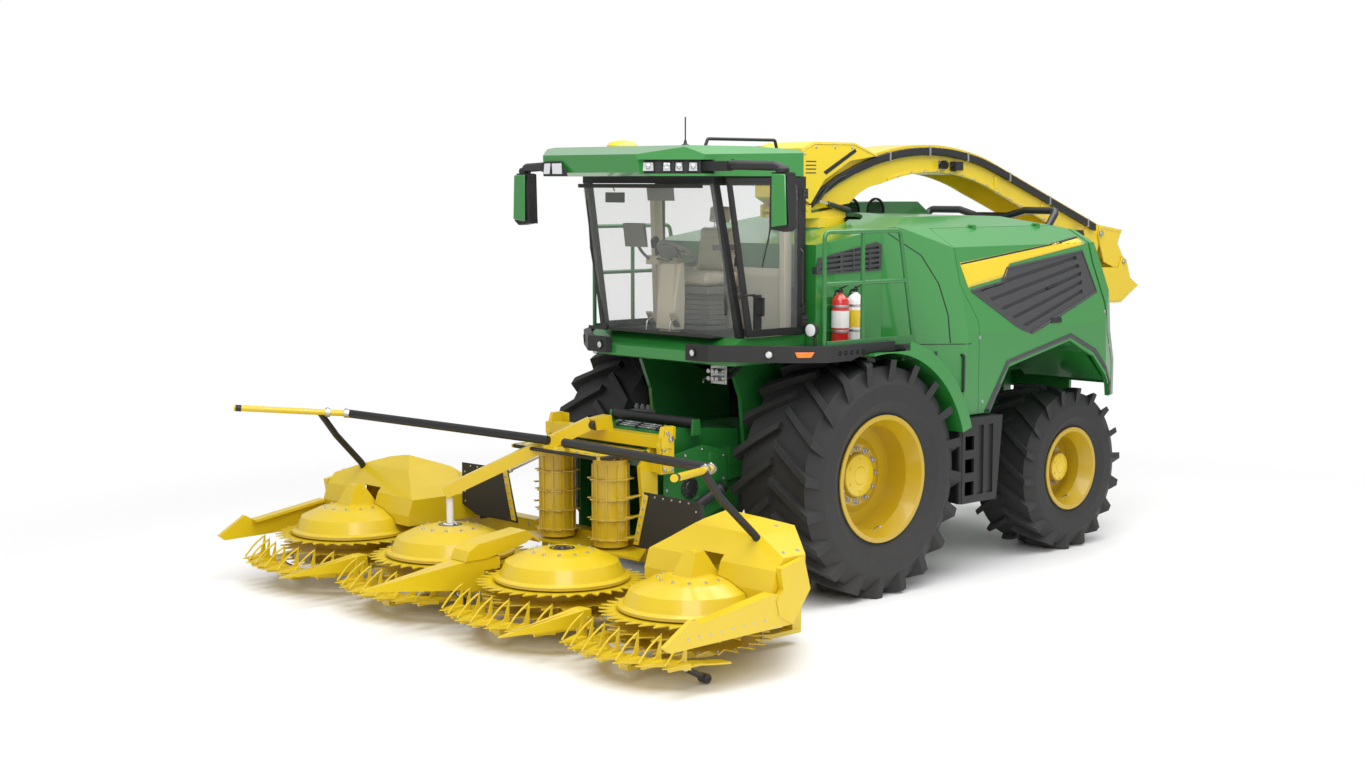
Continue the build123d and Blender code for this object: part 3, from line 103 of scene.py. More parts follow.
@dataclass(frozen=True)
class Finish:
    """How one material looks.

    Attributes:
        colour: linear base colour.
        roughness: roughness where the surface is clean.
        metallic: 1 for bare metal.
        coat: weight of a clear coat.
        mottle: how much the colour varies over the surface.
        grain: height of the fine grain in millimetres.
        grain_scale: grains to a metre.
        wear: how much bare colour shows on edges.
        worn: colour of worn edges.
        dust: how much pale dust lies low on the machine.
        alpha: how solid a glass pane looks.
        glow: emission strength of a lamp's face.
    """

    colour: tuple
    roughness: float = 0.4
    metallic: float = 0.0
    coat: float = 0.0
    mottle: float = 0.08
    grain: float = 0.15
    grain_scale: float = 60.0
    wear: float = 0.0
    worn: tuple = (0.45, 0.45, 0.45)
    dust: float = 0.0
    alpha: float = 1.0
    glow: float = 0.0


class Look(Enum):
    """The machine's finishes."""

    GREEN = Finish((0.022, 0.215, 0.034), 0.3, coat=0.8, mottle=0.03, grain=0.012, grain_scale=28, wear=0.12,
        worn=(0.1, 0.42, 0.12))
    FRAME_GREEN = Finish((0.018, 0.16, 0.03), 0.36, coat=0.6, mottle=0.12, grain=0.1, wear=0.2, worn=(0.08, 0.34, 0.1),
        dust=0.06)
    YELLOW = Finish((0.74, 0.53, 0.008), 0.3, coat=0.5, mottle=0.04, grain=0.015, grain_scale=30, wear=0.15,
        worn=(0.86, 0.72, 0.16))
    # Rim paint: the machine's yellow darkened as painted shade for the side-facing rims; its worn edges and dust are
    # real.
    RIM_YELLOW_PAINTED_SHADE = Finish((0.5, 0.33, 0.006), 0.34, coat=0.4, mottle=0.08, grain=0.08, wear=0.3, worn=(0.72, 0.55, 0.06),
        dust=0.04)
    HEADER_YELLOW = Finish((0.68, 0.485, 0.005), 0.34, coat=0.35, mottle=0.08, grain=0.08, wear=0.25,
        worn=(0.82, 0.68, 0.14), dust=0.04)
    DARK = Finish((0.012, 0.012, 0.013), 0.5, mottle=0.2, grain=0.35, grain_scale=420, wear=0.08)
    DARK_PAINT = Finish((0.012, 0.012, 0.013), 0.38, coat=0.4, mottle=0.15, grain=0.1, wear=0.15, dust=0.05)
    GRILLE = Finish((0.045, 0.046, 0.048), 0.42, mottle=0.15, grain=0.25, grain_scale=300, wear=0.2)
    TYRE = Finish((0.017, 0.017, 0.018), 0.62, mottle=0.35, grain=0.6, grain_scale=160, wear=0.2,
        worn=(0.05, 0.05, 0.05), dust=0.05)
    RUBBER = Finish((0.02, 0.019, 0.018), 0.62, mottle=0.25, grain=0.3, grain_scale=240)
    STEEL = Finish((0.5, 0.5, 0.51), 0.32, metallic=1.0, mottle=0.15, grain=0.2, grain_scale=200, wear=0.2,
        worn=(0.8, 0.8, 0.8))
    CHROME = Finish((0.8, 0.8, 0.81), 0.1, metallic=1.0, mottle=0.03, grain=0.0)
    WORN_YELLOW = Finish((0.62, 0.43, 0.012), 0.36, coat=0.4, mottle=0.12, grain=0.1, wear=0.8, worn=(0.62, 0.6, 0.55))
    GLASS = Finish((0.5, 0.54, 0.52), 0.04, mottle=0.02, grain=0.0, alpha=0.1)
    CLOTH = Finish((0.26, 0.24, 0.2), 0.85, mottle=0.2, grain=0.9, grain_scale=650)
    LEATHER = Finish((0.52, 0.46, 0.36), 0.55, mottle=0.12, grain=0.4, grain_scale=500)
    CAB_TRIM = Finish((0.15, 0.145, 0.135), 0.6, mottle=0.12, grain=0.4, grain_scale=420)
    SCREEN = Finish((0.012, 0.014, 0.018), 0.1, coat=0.8, mottle=0.05, grain=0.0)
    ENGINE = Finish((0.1, 0.105, 0.11), 0.55, mottle=0.25, grain=0.5, grain_scale=120)
    LAMP = Finish((0.62, 0.64, 0.66), 0.12, coat=1.0, mottle=0.04, grain=0.0)
    AMBER = Finish((0.92, 0.2, 0.01), 0.16, coat=1.0, mottle=0.05, grain=0.0, glow=0.15)
    RED = Finish((0.55, 0.012, 0.01), 0.22, coat=1.0, mottle=0.06, grain=0.03)
    WHITE = Finish((0.8, 0.8, 0.78), 0.3, coat=0.6, mottle=0.05, grain=0.05)


NUMBER, TINT, VECTOR = "NodeSocketFloat", "NodeSocketColor", "NodeSocketVector"
MID_GREY = (0.5, 0.5, 0.5, 1)
DUST_COLOUR = (0.42, 0.38, 0.31, 1)
DUST_TOP = 1.3  # height up to which dust lies, metres
EDGE_RADIUS = 0.004  # how wide shading rounds an edge, metres


class Graph:
    """Adds nodes to a node tree, with their numbers and links in one call."""

    def __init__(self, tree: bpy.types.NodeTree) -> None:
        """Take the node tree to work on."""
        self.tree = tree

    def feed(self, node: bpy.types.Node, sockets: dict) -> None:
        """Set a node's inputs.

        Args:
            node: the node.
            sockets: for each input, its value or the output that feeds it.
        """
        for name, value in sockets.items():
            if isinstance(value, bpy.types.NodeSocket):
                self.tree.links.new(value, node.inputs[name])
            else:
                node.inputs[name].default_value = value

    def add(self, kind: str, sockets: dict | None = None, **settings: object) -> bpy.types.Node:
        """Add a node.

        Args:
            kind: its type, without the leading ShaderNode.
            sockets: for each input, its value or the output that feeds it.
            settings: the node's own settings.

        Returns:
            The node.
        """
        node = self.tree.nodes.new(f"ShaderNode{kind}")
        for name, value in settings.items():
            setattr(node, name, value)
        self.feed(node, sockets or {})
        return node


def new_group(name: str, inputs: list, outputs: list) -> tuple:
    """Start a shader node group with named sockets.

    Args:
        name: the group's name.
        inputs: (socket name, socket type, default) rows.
        outputs: (socket name, socket type) rows.

    Returns:
        The group's graph, its input node's outputs and its output node.
    """
    tree = bpy.data.node_groups.new(name, "ShaderNodeTree")
    for socket, kind, default in inputs:
        item = tree.interface.new_socket(socket, in_out="INPUT", socket_type=kind)
        item.default_value = default
    for socket, kind in outputs:
        tree.interface.new_socket(socket, in_out="OUTPUT", socket_type=kind)
    return Graph(tree), tree.nodes.new("NodeGroupInput").outputs, tree.nodes.new("NodeGroupOutput")


def new_material(name: str) -> tuple:
    """Start a material.

    Args:
        name: its name.

    Returns:
        The material, its graph and its shader node.
    """
    material = bpy.data.materials.new(name)
    material.use_nodes = True
    return material, Graph(material.node_tree), material.node_tree.nodes["Principled BSDF"]


def make_surface_group() -> bpy.types.NodeTree:
    """Shared colour and roughness effect: mottling, worn edges and dust that lies low.

    Returns:
        The node group.
    """
    graph, given, out = new_group("Surface", [("Base Colour", TINT, MID_GREY), ("Worn Colour", TINT, MID_GREY),
        ("Mottle", NUMBER, 0.1), ("Wear", NUMBER, 0.0), ("Dust", NUMBER, 0.0), ("Roughness", NUMBER, 0.4)],
        [("Colour", TINT), ("Roughness", NUMBER), ("Edge Normal", VECTOR)])
    place = graph.add("TexCoord").outputs["Object"]
    flat = graph.add("NewGeometry").outputs["Normal"]
    soft = graph.add("Bevel", {"Radius": EDGE_RADIUS}, samples=4).outputs["Normal"]
    match = graph.add("VectorMath", {0: soft, 1: flat}, operation="DOT_PRODUCT")

    patches = graph.add("TexNoise", {"Scale": 2.2, "Detail": 5, "Vector": place})
    centred = graph.add("Math", {0: patches.outputs["Fac"], 1: 0.5}, operation="SUBTRACT").outputs[0]
    shade = graph.add("Math", {0: centred, 1: given["Mottle"], 2: 1.0}, operation="MULTIPLY_ADD")
    toned = graph.add("VectorMath", {0: given["Base Colour"], "Scale": shade.outputs[0]}, operation="SCALE")

    edges = graph.add("MapRange", {"From Min": 0.99, "From Max": 0.8, "Value": match.outputs["Value"]})
    wear = graph.add("Math", {0: edges.outputs[0], 1: given["Wear"]}, operation="MULTIPLY")
    worn = graph.add("Mix", {"Factor": wear.outputs[0], "A": toned.outputs[0], "B": given["Worn Colour"]},
        data_type="RGBA")

    height = graph.add("SeparateXYZ", {0: place}).outputs["Z"]
    low = graph.add("MapRange", {"From Min": DUST_TOP, "From Max": 0.0, "Value": height})
    specks = graph.add("TexNoise", {"Scale": 14, "Detail": 6, "Vector": place})
    dusty = graph.add("Math", {0: low.outputs[0], 1: specks.outputs["Fac"]}, operation="MULTIPLY")
    amount = graph.add("Math", {0: dusty.outputs[0], 1: given["Dust"]}, operation="MULTIPLY").outputs[0]

    rough = graph.add("Math", {0: centred, 1: 0.12, 2: given["Roughness"]}, operation="MULTIPLY_ADD")
    rougher = graph.add("Math", {0: rough.outputs[0], 1: amount}, operation="ADD", use_clamp=True)
    dusted = graph.add("Mix", {"Factor": amount, "A": worn.outputs["Result"], "B": DUST_COLOUR}, data_type="RGBA")
    graph.feed(out, {"Colour": dusted.outputs["Result"], "Roughness": rougher.outputs[0], "Edge Normal": soft})
    return graph.tree


def make_grain_group() -> bpy.types.NodeTree:
    """Shared fine relief: noise turned into a normal.

    Returns:
        The node group.
    """
    graph, given, out = new_group("Grain", [("Scale", NUMBER, 60.0), ("Height", NUMBER, 0.0002),
        ("Normal", VECTOR, (0, 0, 0))], [("Normal", VECTOR)])
    place = graph.add("TexCoord").outputs["Object"]
    fine = graph.add("TexNoise", {"Detail": 4, "Vector": place, "Scale": given["Scale"]})
    bump = graph.add("Bump", {"Strength": 0.6, "Distance": given["Height"], "Height": fine.outputs["Fac"],
        "Normal": given["Normal"]})
    graph.feed(out, {"Normal": bump.outputs["Normal"]})
    return graph.tree


class Materials:
    """Makes each finish's material once and hands it out."""

    def __init__(self) -> None:
        """Build the shared node groups."""
        self.surface = make_surface_group()
        self.grain = make_grain_group()
        self.made = {}

    def get(self, look: Look) -> bpy.types.Material:
        """Material of a finish.

        Args:
            look: a Look.

        Returns:
            The material.
        """
        if look not in self.made:
            self.made[look] = self._make(look.name.lower(), look.value)
        return self.made[look]

    def _make(self, name: str, finish: Finish) -> bpy.types.Material:
        """Build one material.

        Args:
            name: the material's name.
            finish: its Finish.

        Returns:
            The material.
        """
        material, graph, shader = new_material(name)
        surface = graph.add("Group", node_tree=self.surface)
        graph.feed(surface, {"Base Colour": (*finish.colour, 1), "Worn Colour": (*finish.worn, 1),
            "Mottle": finish.mottle, "Wear": finish.wear, "Dust": finish.dust, "Roughness": finish.roughness})
        graph.feed(shader, {"Base Color": surface.outputs["Colour"], "Roughness": surface.outputs["Roughness"],
            "Metallic": finish.metallic, "Coat Weight": finish.coat, "Coat Roughness": 0.08, "Alpha": finish.alpha})
        if finish.grain:
            fine = {"Scale": finish.grain_scale, "Height": finish.grain / 1000,
                "Normal": surface.outputs["Edge Normal"]}
            graph.feed(shader, {"Normal": graph.add("Group", fine, node_tree=self.grain).outputs["Normal"]})
        if finish.glow:
            graph.feed(shader, {"Emission Color": (*finish.colour, 1), "Emission Strength": finish.glow})
        return material


MATERIALS = Materials()

# CAD nodes of each finish, by the starts of their names; the longest start that fits counts
NODE_LOOKS = {
    # The rims take the yellow that is darkened as painted shade.
    Look.TYRE: ("front_tyre", "rear_tyre"), Look.RIM_YELLOW_PAINTED_SHADE: ("front_rim", "rear_rim"),
    Look.GREEN: ("side_panel", "hood", "mid_hood", "intake", "cab_floor", "roof", "mudguards"),
    Look.FRAME_GREEN: ("railings", "rear_hitch", "turret", "chassis", "front_axle", "rear_axle", "knuckle", "feeder"),
    Look.DARK: ("cab_door", "cab_frame", "roof_gear", "bumpers", "side_steps", "guide_bars"),
    Look.DARK_PAINT: ("platforms", "spout_rest", "sensor"), Look.GRILLE: ("side_grille", "rear_screen", "vent"),
    Look.GLASS: ("cab_glass", "door_glass"), Look.CLOTH: ("seat",), Look.LEATHER: ("console",),
    Look.YELLOW: ("spout",), Look.ENGINE: ("engine",), Look.RUBBER: ("rubber",), Look.WORN_YELLOW: ("feed_drum",),
    Look.HEADER_YELLOW: ("",),
}


def dress_nodes() -> None:
    """Give every CAD node its finish."""
    looks = {start: look for look, starts in NODE_LOOKS.items() for start in starts}
    for name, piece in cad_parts.items():
        look = looks[max((start for start in looks if name.startswith(start)), key=len)]
        for slot in piece.material_slots:
            slot.link = "OBJECT"
            slot.material = MATERIALS.get(look)
        LOG.info("dressed %s as %s", name, look.name)


# Small shapes

SHARP_ANGLE = math.radians(35)
BEVEL_ANGLE = math.radians(40)


def circle(count: int, phase: float = 0.0) -> Places:
    """Even steps round a circle.

    Args:
        count: how many steps.
        phase: where the first one lies, as a share of a step.

    Returns:
        The (cosine, sine) of each step.
    """
    turns = [2 * math.pi * (i + phase) / count for i in range(count)]
    return [(math.cos(turn), math.sin(turn)) for turn in turns]


def show(piece: bpy.types.Object) -> None:
    """Put an object in the scene."""
    bpy.context.scene.collection.objects.link(piece)


def to_data(name: str, mesh: bmesh.types.BMesh) -> bpy.types.Mesh:
    """Turn a bmesh into mesh data and free it.

    Args:
        name: the data's name.
        mesh: the bmesh.

    Returns:
        The mesh data.
    """
    data = bpy.data.meshes.new(name)
    mesh.to_mesh(data)
    mesh.free()
    return data


class Form:
    """One small piece's mesh, put together from simple solids whose edges are softened at the end.

    Its numbers are measured from the front axle, as in at(x, y, z).

    Attributes:
        waiting: the forms that are begun and not made yet.
    """

    waiting: ClassVar[list] = []

    def __init__(self, name: str, look: Look, body: str, edge: float = 0.0) -> None:
        """Start an empty form.

        Args:
            name: the piece's name.
            look: its Look.
            body: name of the body that it rides on.
            edge: width of the bevel along its edges; 0 for none.
        """
        self.name, self.look, self.body, self.edge = name, look, body, edge
        self.mesh = bmesh.new()
        Form.waiting.append(self)

    def prism(self, outline: Places, depth: Place) -> "Form":
        """Add the solid between an outline and its copy moved by a vector.

        Args:
            outline: places round one face.
            depth: the vector to the other face.

        Returns:
            The form.
        """
        depth = Vector(depth)
        near = [self.mesh.verts.new(Vector(place)) for place in outline]
        far = [self.mesh.verts.new(Vector(place) + depth) for place in outline]
        self.mesh.faces.new(near)
        self.mesh.faces.new(far[::-1])
        for i, vert in enumerate(near):
            j = (i + 1) % len(near)
            self.mesh.faces.new((vert, near[j], far[j], far[i]))
        return self

    def plate(self, axis: int, level: float, depth: float, outline: Places) -> "Form":
        """Add a flat plate that is square to one axis.

        Args:
            axis: X, Y or Z, the axis that it is square to.
            level: where its first face lies along that axis.
            depth: distance from there to its other face.
            outline: its corners' two other coordinates.

        Returns:
            The form.
        """
        way = [0.0, 0.0, 0.0]
        way[axis] = depth
        return self.prism([(*corner[:axis], level, *corner[axis:]) for corner in outline], way)

    def block(self, low: Place, high: Place) -> "Form":
        """Add a straight block.

        Args:
            low: its lowest corner.
            high: its highest corner.

        Returns:
            The form.
        """
        (x0, y0, z0), (x1, y1, z1) = low, high
        return self.plate(Z, z0, z1 - z0, [(x0, y0), (x1, y0), (x1, y1), (x0, y1)])

    def turned(self, foot: Place, axis: Place, profile: Places, sides: int = 20, ring: bool = False,
            per_metre: float = 1000) -> "Form":
        """Add a turned solid.

        Args:
            foot: where its axis starts.
            axis: direction of the axis.
            profile: (distance along the axis, radius) rows, in millimetres.
            sides: how many flats it has.
            ring: True where the profile closes on itself, as on a tube or a bead.
            per_metre: 1 where the profile is in metres.

        Returns:
            The form.
        """
        foot, axis = Vector(foot), Vector(axis).normalized()
        one = axis.orthogonal().normalized()
        two = axis.cross(one)
        rows = []
        for reach, radius in profile:
            middle, radius = foot + axis * (reach / per_metre), radius / per_metre
            spots = [middle + (one * c + two * s) * radius for c, s in circle(sides)] if radius > 0 else [middle]
            rows.append([self.mesh.verts.new(spot) for spot in spots])
        pairs = list(zip(rows, rows[1:]))
        if ring:
            pairs.append((rows[-1], rows[0]))
        for near, far in pairs:
            for i in range(sides):
                j = (i + 1) % sides
                corners = [near[i % len(near)], near[j % len(near)], far[j % len(far)], far[i % len(far)]]
                corners = list(dict.fromkeys(corners))
                if len(corners) > 2:
                    self.mesh.faces.new(corners)
        for row in (rows[0], rows[-1]):
            if not ring and len(row) > 2:
                self.mesh.faces.new(row)
        return self

    def pipe(self, points: Places, radius: float, sides: int = 10, bend: float = 0.0) -> "Form":
        """Add a round bar or pipe along a line of points.

        Args:
            points: the places it passes.
            radius: its radius.
            sides: flats round it.
            bend: how far from each corner its bend starts; 0 for mitred corners.

        Returns:
            The form.
        """
        line = rounded([Vector(point) for point in points], bend)
        heads = [(b - a).normalized() for a, b in zip(line, line[1:])]
        heads = [heads[0]] + heads + [heads[-1]]
        side = heads[0].orthogonal().normalized()
        rows = []
        for i, place in enumerate(line):
            head = (heads[i] + heads[i + 1]).normalized()
            side = (side - head * side.dot(head)).normalized()
            over = head.cross(side)
            rows.append([self.mesh.verts.new(place + (side * c + over * s) * radius) for c, s in circle(sides)])
        for near, far in zip(rows, rows[1:]):
            for i in range(sides):
                j = (i + 1) % sides
                self.mesh.faces.new((near[i], near[j], far[j], far[i]))
        self.mesh.faces.new(rows[0])
        self.mesh.faces.new(rows[-1])
        return self

    def bolt(self, place: Place, out: Place, size: float = 0.011) -> "Form":
        """Add a hexagon head on its washer.

        Args:
            place: where it sits.
            out: direction it points in.
            size: radius of the head.

        Returns:
            The form.
        """
        self.turned(place, out, [(-0.003, size * 1.55), (size * 0.3, size * 1.55)], 14, per_metre=1)
        return self.turned(place, out, [(0, size), (size * 0.95, size), (size * 1.1, size * 0.82)], 6, per_metre=1)

    def done(self) -> bpy.types.Object:
        """Make the object, give it its finish and put it on its body.

        Returns:
            The object.
        """
        Form.waiting.remove(self)
        bmesh.ops.recalc_face_normals(self.mesh, faces=self.mesh.faces)
        data = to_data(self.name, self.mesh)
        data.transform(Matrix.Translation(AXLE))
        data.shade_smooth()
        data.set_sharp_from_angle(angle=SHARP_ANGLE)
        return add_piece(self.name, data, self.look, self.body, self.edge)

    @classmethod
    def make_waiting(cls) -> None:
        """Make all forms that are begun and not made yet."""
        for form in cls.waiting[:]:
            form.done()


@dataclass
class Assembly:
    """A group of small pieces.

    Attributes:
        body: body that most of them ride on.
    """

    body: str = "machine"

    def form(self, name: str, look: Look, edge: float = 0.0, hand: int = 0, body: str = "") -> Form:
        """Start one of the pieces.

        Args:
            name: its name, without its side.
            look: its Look.
            edge: width of the bevel along its edges; 0 for none.
            hand: 1 for left, -1 for right, 0 where it has no side.
            body: name of its body, where it isn't the group's.

        Returns:
            The form.
        """
        side = f"_{SIDE_NAMES[hand]}" if hand else ""
        return Form(name + side, look, body or self.body, edge)


def rounded(line: list[Vector], bend: float) -> list[Vector]:
    """Round the corners of a line of points.

    Args:
        line: the points, as Vectors.
        bend: how far from each corner its bend starts.

    Returns:
        The points of the rounded line.
    """
    if not bend:
        return line
    made = [line[0]]
    for before, corner, after in zip(line, line[1:], line[2:]):
        reach = min(bend, (corner - before).length * 0.48, (after - corner).length * 0.48)
        start = corner + (before - corner).normalized() * reach
        end = corner + (after - corner).normalized() * reach
        for i in range(5):
            t = i / 4
            made.append(start * (1 - t) ** 2 + corner * 2 * t * (1 - t) + end * t ** 2)
    return made + [line[-1]]


def add_piece(name: str, data: bpy.types.Mesh, look: Look, body: str, edge: float = 0.0) -> bpy.types.Object:
    """Turn a mesh into a finished piece on a body.

    Args:
        name: the piece's name.
        data: its mesh.
        look: its Look.
        body: name of the body that it rides on.
        edge: width of the bevel along its edges; 0 for none.

    Returns:
        The object.
    """
    piece = bpy.data.objects.new(name, data)
    data.materials.append(MATERIALS.get(look))
    show(piece)
    if edge:
        bevel = piece.modifiers.new("edges", "BEVEL")
        bevel.width = edge
        bevel.segments = 2
        bevel.limit_method = "ANGLE"
        bevel.angle_limit = BEVEL_ANGLE
    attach(piece, body)
    LOG.info("made %s on %s", name, body)
    return piece


class Skin:
    """Finds the outer surface of CAD nodes, so that trim lies on it."""

    def __init__(self, *names: str) -> None:
        """Gather the nodes' faces.

        Args:
            names: CAD nodes.
        """
        places, faces = [], []
        for name in names:
            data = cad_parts[name].data
            start = len(places)
            places += [vert.co.copy() for vert in data.vertices]
            faces += [[start + i for i in face.vertices] for face in data.polygons]
        self.tree = BVHTree.FromPolygons(places, faces)

    def side(self, x: float, z: float, hand: int, lift: float = 0.0, start: float = 3.0) -> Vector | None:
        """Place on the left or right face.

        Args:
            x: distance ahead of the front axle.
            z: height.
            hand: 1 for left, -1 for right.
            lift: how far to stand off the surface.
            start: where the search starts.

        Returns:
            The place measured from the front axle, or None where there is no surface.
        """
        return self.hit((x, hand * start, z), (0, -hand, 0), lift)

    def hit(self, start: Place, heading: Place, lift: float = 0.0) -> Vector | None:
        """First place on the surface along a line.

        Args:
            start: where the line starts, from the front axle.
            heading: its direction.
            lift: how far to stand off the surface.

        Returns:
            The place measured from the front axle, or None.
        """
        place, normal, _, _ = self.tree.ray_cast(at(*start), Vector(heading))
        if place is None:
            return None
        if normal.dot(Vector(heading)) > 0:
            normal = -normal
        return place + normal * lift - AXLE


def lay_band(name: str, look: Look, body: str, skin: Skin, hand: int, edge_one: Places, edge_two: Places,
        thick: float = 0.003, across: int = 6, step: float = 0.06) -> bpy.types.Object:
    """Lay a thin band of trim on a machine's side between two edge lines.

    Args:
        name: the piece's name.
        look: its Look.
        body: body that it rides on.
        skin: the Skin that it lies on.
        hand: 1 for left, -1 for right.
        edge_one: (x, z) points of one edge.
        edge_two: as many points of the other edge.
        thick: how far it stands off the surface.
        across: cells across the band.
        step: longest cell along it.

    Returns:
        The object.
    """
    rows = []
    for i in range(len(edge_one) - 1):
        one, two = Vector(edge_one[i]), Vector(edge_one[i + 1])
        three, four = Vector(edge_two[i]), Vector(edge_two[i + 1])
        cells = max(1, math.ceil(max((two - one).length, (four - three).length) / step))
        last = i == len(edge_one) - 2
        for k in range(cells + (1 if last else 0)):
            start, end = one.lerp(two, k / cells), three.lerp(four, k / cells)
            rows.append([start.lerp(end, j / across) for j in range(across + 1)])
    mesh = bmesh.new()
    grid = []
    for row in rows:
        line = []
        for x, z in row:
            place = skin.side(x, z, hand, thick)
            line.append(mesh.verts.new(place + AXLE) if place is not None else None)
        grid.append(line)
    for near, far in zip(grid, grid[1:]):
        for j in range(across):
            corners = [near[j], near[j + 1], far[j + 1], far[j]]
            if None not in corners:
                mesh.faces.new(corners)
    bmesh.ops.recalc_face_normals(mesh, faces=mesh.faces)
    if sum(face.normal.y * hand for face in mesh.faces) < 0:
        bmesh.ops.reverse_faces(mesh, faces=mesh.faces)
    data = to_data(name, mesh)
    data.shade_smooth()
    piece = add_piece(name, data, look, body)
    solid = piece.modifiers.new("thickness", "SOLIDIFY")
    solid.thickness = thick
    solid.offset = -1.0
    return piece


def lay_line(name: str, look: Look, body: str, skin: Skin, hand: int, points: Places, width: float = 0.008,
        thick: float = 0.002) -> bpy.types.Object:
    """Lay a narrow line of trim, such as a panel joint, on a machine's side.

    Args:
        name: the piece's name.
        look: its Look.
        body: body that it rides on.
        skin: the Skin that it lies on.
        hand: 1 for left, -1 for right.
        points: (x, z) points of its middle.
        width: its width.
        thick: how far it stands off the surface.

    Returns:
        The object.
    """
    line = [Vector(point) for point in points]
    one, two = [], []
    for i, place in enumerate(line):
        head = (line[min(i + 1, len(line) - 1)] - line[max(i - 1, 0)]).normalized()
        off = Vector((-head.y, head.x)) * width / 2
        one.append(place + off)
        two.append(place - off)
    return lay_band(name, look, body, skin, hand, one, two, thick, across=1, step=0.05)


# Wheels


@dataclass
class Wheel:
    """Nuts, cap, beads and valve of one wheel.

    Attributes:
        axle: "front" or "rear".
        hand: 1 for the left wheel, -1 for the right one.
        track: distance of the wheel's middle plane from the machine's.
        face: distance of the bolt flange from that plane.
        cap: distance of the hub cap's face from that plane.
        circle: radius of the nuts' circle.
        nuts: how many wheel nuts there are.
        cap_radius: radius of the hub cap.
        dish: radius where the disc meets the rim.
        bead: radius of the rim's edge.
        half: half of the rim's width.
    """

    axle: str
    hand: int
    track: float
    face: float
    cap: float
    circle: float
    nuts: int
    cap_radius: float
    dish: float
    bead: float
    half: float

    def build(self) -> None:
        """Make the wheel's small parts."""
        side = SIDE_NAMES[self.hand]
        body = f"{self.axle}_wheel_{side}"
        hub = node_middle(f"{self.axle}_rim_{side}") - AXLE
        hub.y = self.hand * self.track
        out = Vector((0, self.hand, 0))
        nuts = Form(f"{self.axle}_wheel_nuts_{side}", Look.STEEL, body, 0.001)
        for c, s in circle(self.nuts):
            spot = hub + Vector((c * self.circle, 0, s * self.circle)) + out * self.face
            nuts.turned(spot, out, [(-2, 30), (5, 30)], 16)
            nuts.turned(spot, out, [(4, 20), (26, 20), (29, 16)], 6)
            nuts.turned(spot, out, [(26, 11), (46, 11), (48, 9)], 10)
        cover = Form(f"{self.axle}_hub_cover_{side}", Look.YELLOW, body, 0.002)
        middle = hub + out * self.cap
        cover.turned(middle, out, [(-0.004, self.cap_radius), (0.006, self.cap_radius), (0.01, self.cap_radius * 0.94),
            (0.012, self.cap_radius * 0.45), (0.02, self.cap_radius * 0.4), (0.022, self.cap_radius * 0.2),
            (0.022, 0)], 40, per_metre=1)
        reach = self.cap_radius * 0.78
        for c, s in circle(6, 0.5):
            cover.bolt(middle + Vector((c * reach, 0, s * reach)) + out * 0.01, out, 0.009)
        Form(f"{self.axle}_disc_weld_{side}", Look.YELLOW, body, 0).turned(hub + out * (self.face - 0.026), out,
            [(0.0, self.dish + 0.004), (0.008, self.dish + 0.002), (0.016, self.dish - 0.01),
            (0.012, self.dish - 0.02), (0.0, self.dish - 0.022)], 64, ring=True, per_metre=1)
        valve = Form(f"{self.axle}_valve_{side}", Look.STEEL, body, 0)
        foot = hub + Vector((0, 0, -self.bead + 0.075)) + out * (self.half - 0.1)
        valve.pipe([foot, foot + Vector((0, 0, 0.04)), foot + Vector((0, 0, 0.06)) + out * 0.05], 0.007, 8, 0.02)
        valve.turned(foot + Vector((0, 0, 0.06)) + out * 0.05, out, [(0, 10), (20, 10)], 10)
        tyre = Form(f"{self.axle}_tyre_beads_{side}", Look.TYRE, body, 0)
        for radius in (self.bead + 0.018, self.bead + 0.034):
            for face in BOTH:
                middle = hub + Vector((0, face * (self.half - 0.02), 0))
                tyre.turned(middle, (0, face, 0), [(0.0, radius - 0.006), (0.006, radius - 0.003),
                    (0.006, radius + 0.003), (0.0, radius + 0.006)], 72, ring=True, per_metre=1)


# Cab

CUSHION_CELL, QUICK_CELL = 0.009, 0.012  # size of the cushions' mesh, metres
CLOTH_FRAMES = 20
GROOVE_WIDTH = 0.009


def crowned_pad(name: str, low: Place, high: Place, lean: float = 0.0, look: Look = Look.LEATHER,
        body: str = "machine", grooves: Places = (), cap: float = 0.016) -> bpy.types.Object:
    """Make one stuffed cushion: a rounded block, blown up as cloth, with sewn channels after it.

    Args:
        name: the piece's name.
        low: lowest corner of the room it fills.
        high: highest corner.
        lean: how far its top moves back, for a leaning back rest.
        look: its finish.
        body: body that it rides on.
        grooves: (axis, place, depth) rows of its sewn channels.
        cap: farthest that a point may move as it swells.

    Returns:
        The object.
    """
    low, high = Vector(low), Vector(high)
    size = high - low
    shy = Vector((cap, cap, cap))
    mesh = bmesh.new()
    bmesh.ops.create_cube(mesh, size=1.0)
    room = size - shy * 2
    for vert in mesh.verts:
        vert.co = Vector((vert.co.x * room.x, vert.co.y * room.y, vert.co.z * room.z)) + (low + high) / 2
        vert.co.x -= lean * (vert.co.z - low.z) / size.z
    edge = min(room) * 0.32
    bmesh.ops.bevel(mesh, geom=mesh.edges[:], offset=edge, segments=5, affect="EDGES", profile=0.5)
    data = to_data(name, mesh)
    data.transform(Matrix.Translation(AXLE))
    draft = bpy.data.objects.new(name + "_draft", data)
    show(draft)
    net = draft.modifiers.new("net", "REMESH")
    net.mode = "VOXEL"
    net.voxel_size = CUSHION_CELL
    data = settled(draft)
    data = blown_up(name, data, cap)
    for axis, place, depth in grooves:
        place += FRONT_AXLE if axis == X else 0
        for vert in data.vertices:
            share = math.exp(-((vert.co[axis] - place) / GROOVE_WIDTH) ** 2)
            vert.co = vert.co - vert.normal * depth * share
    data.shade_smooth()
    pad = add_piece(name, data, look, body)
    soft = pad.modifiers.new("smooth", "SUBSURF")
    soft.levels = soft.render_levels = 1
    return pad


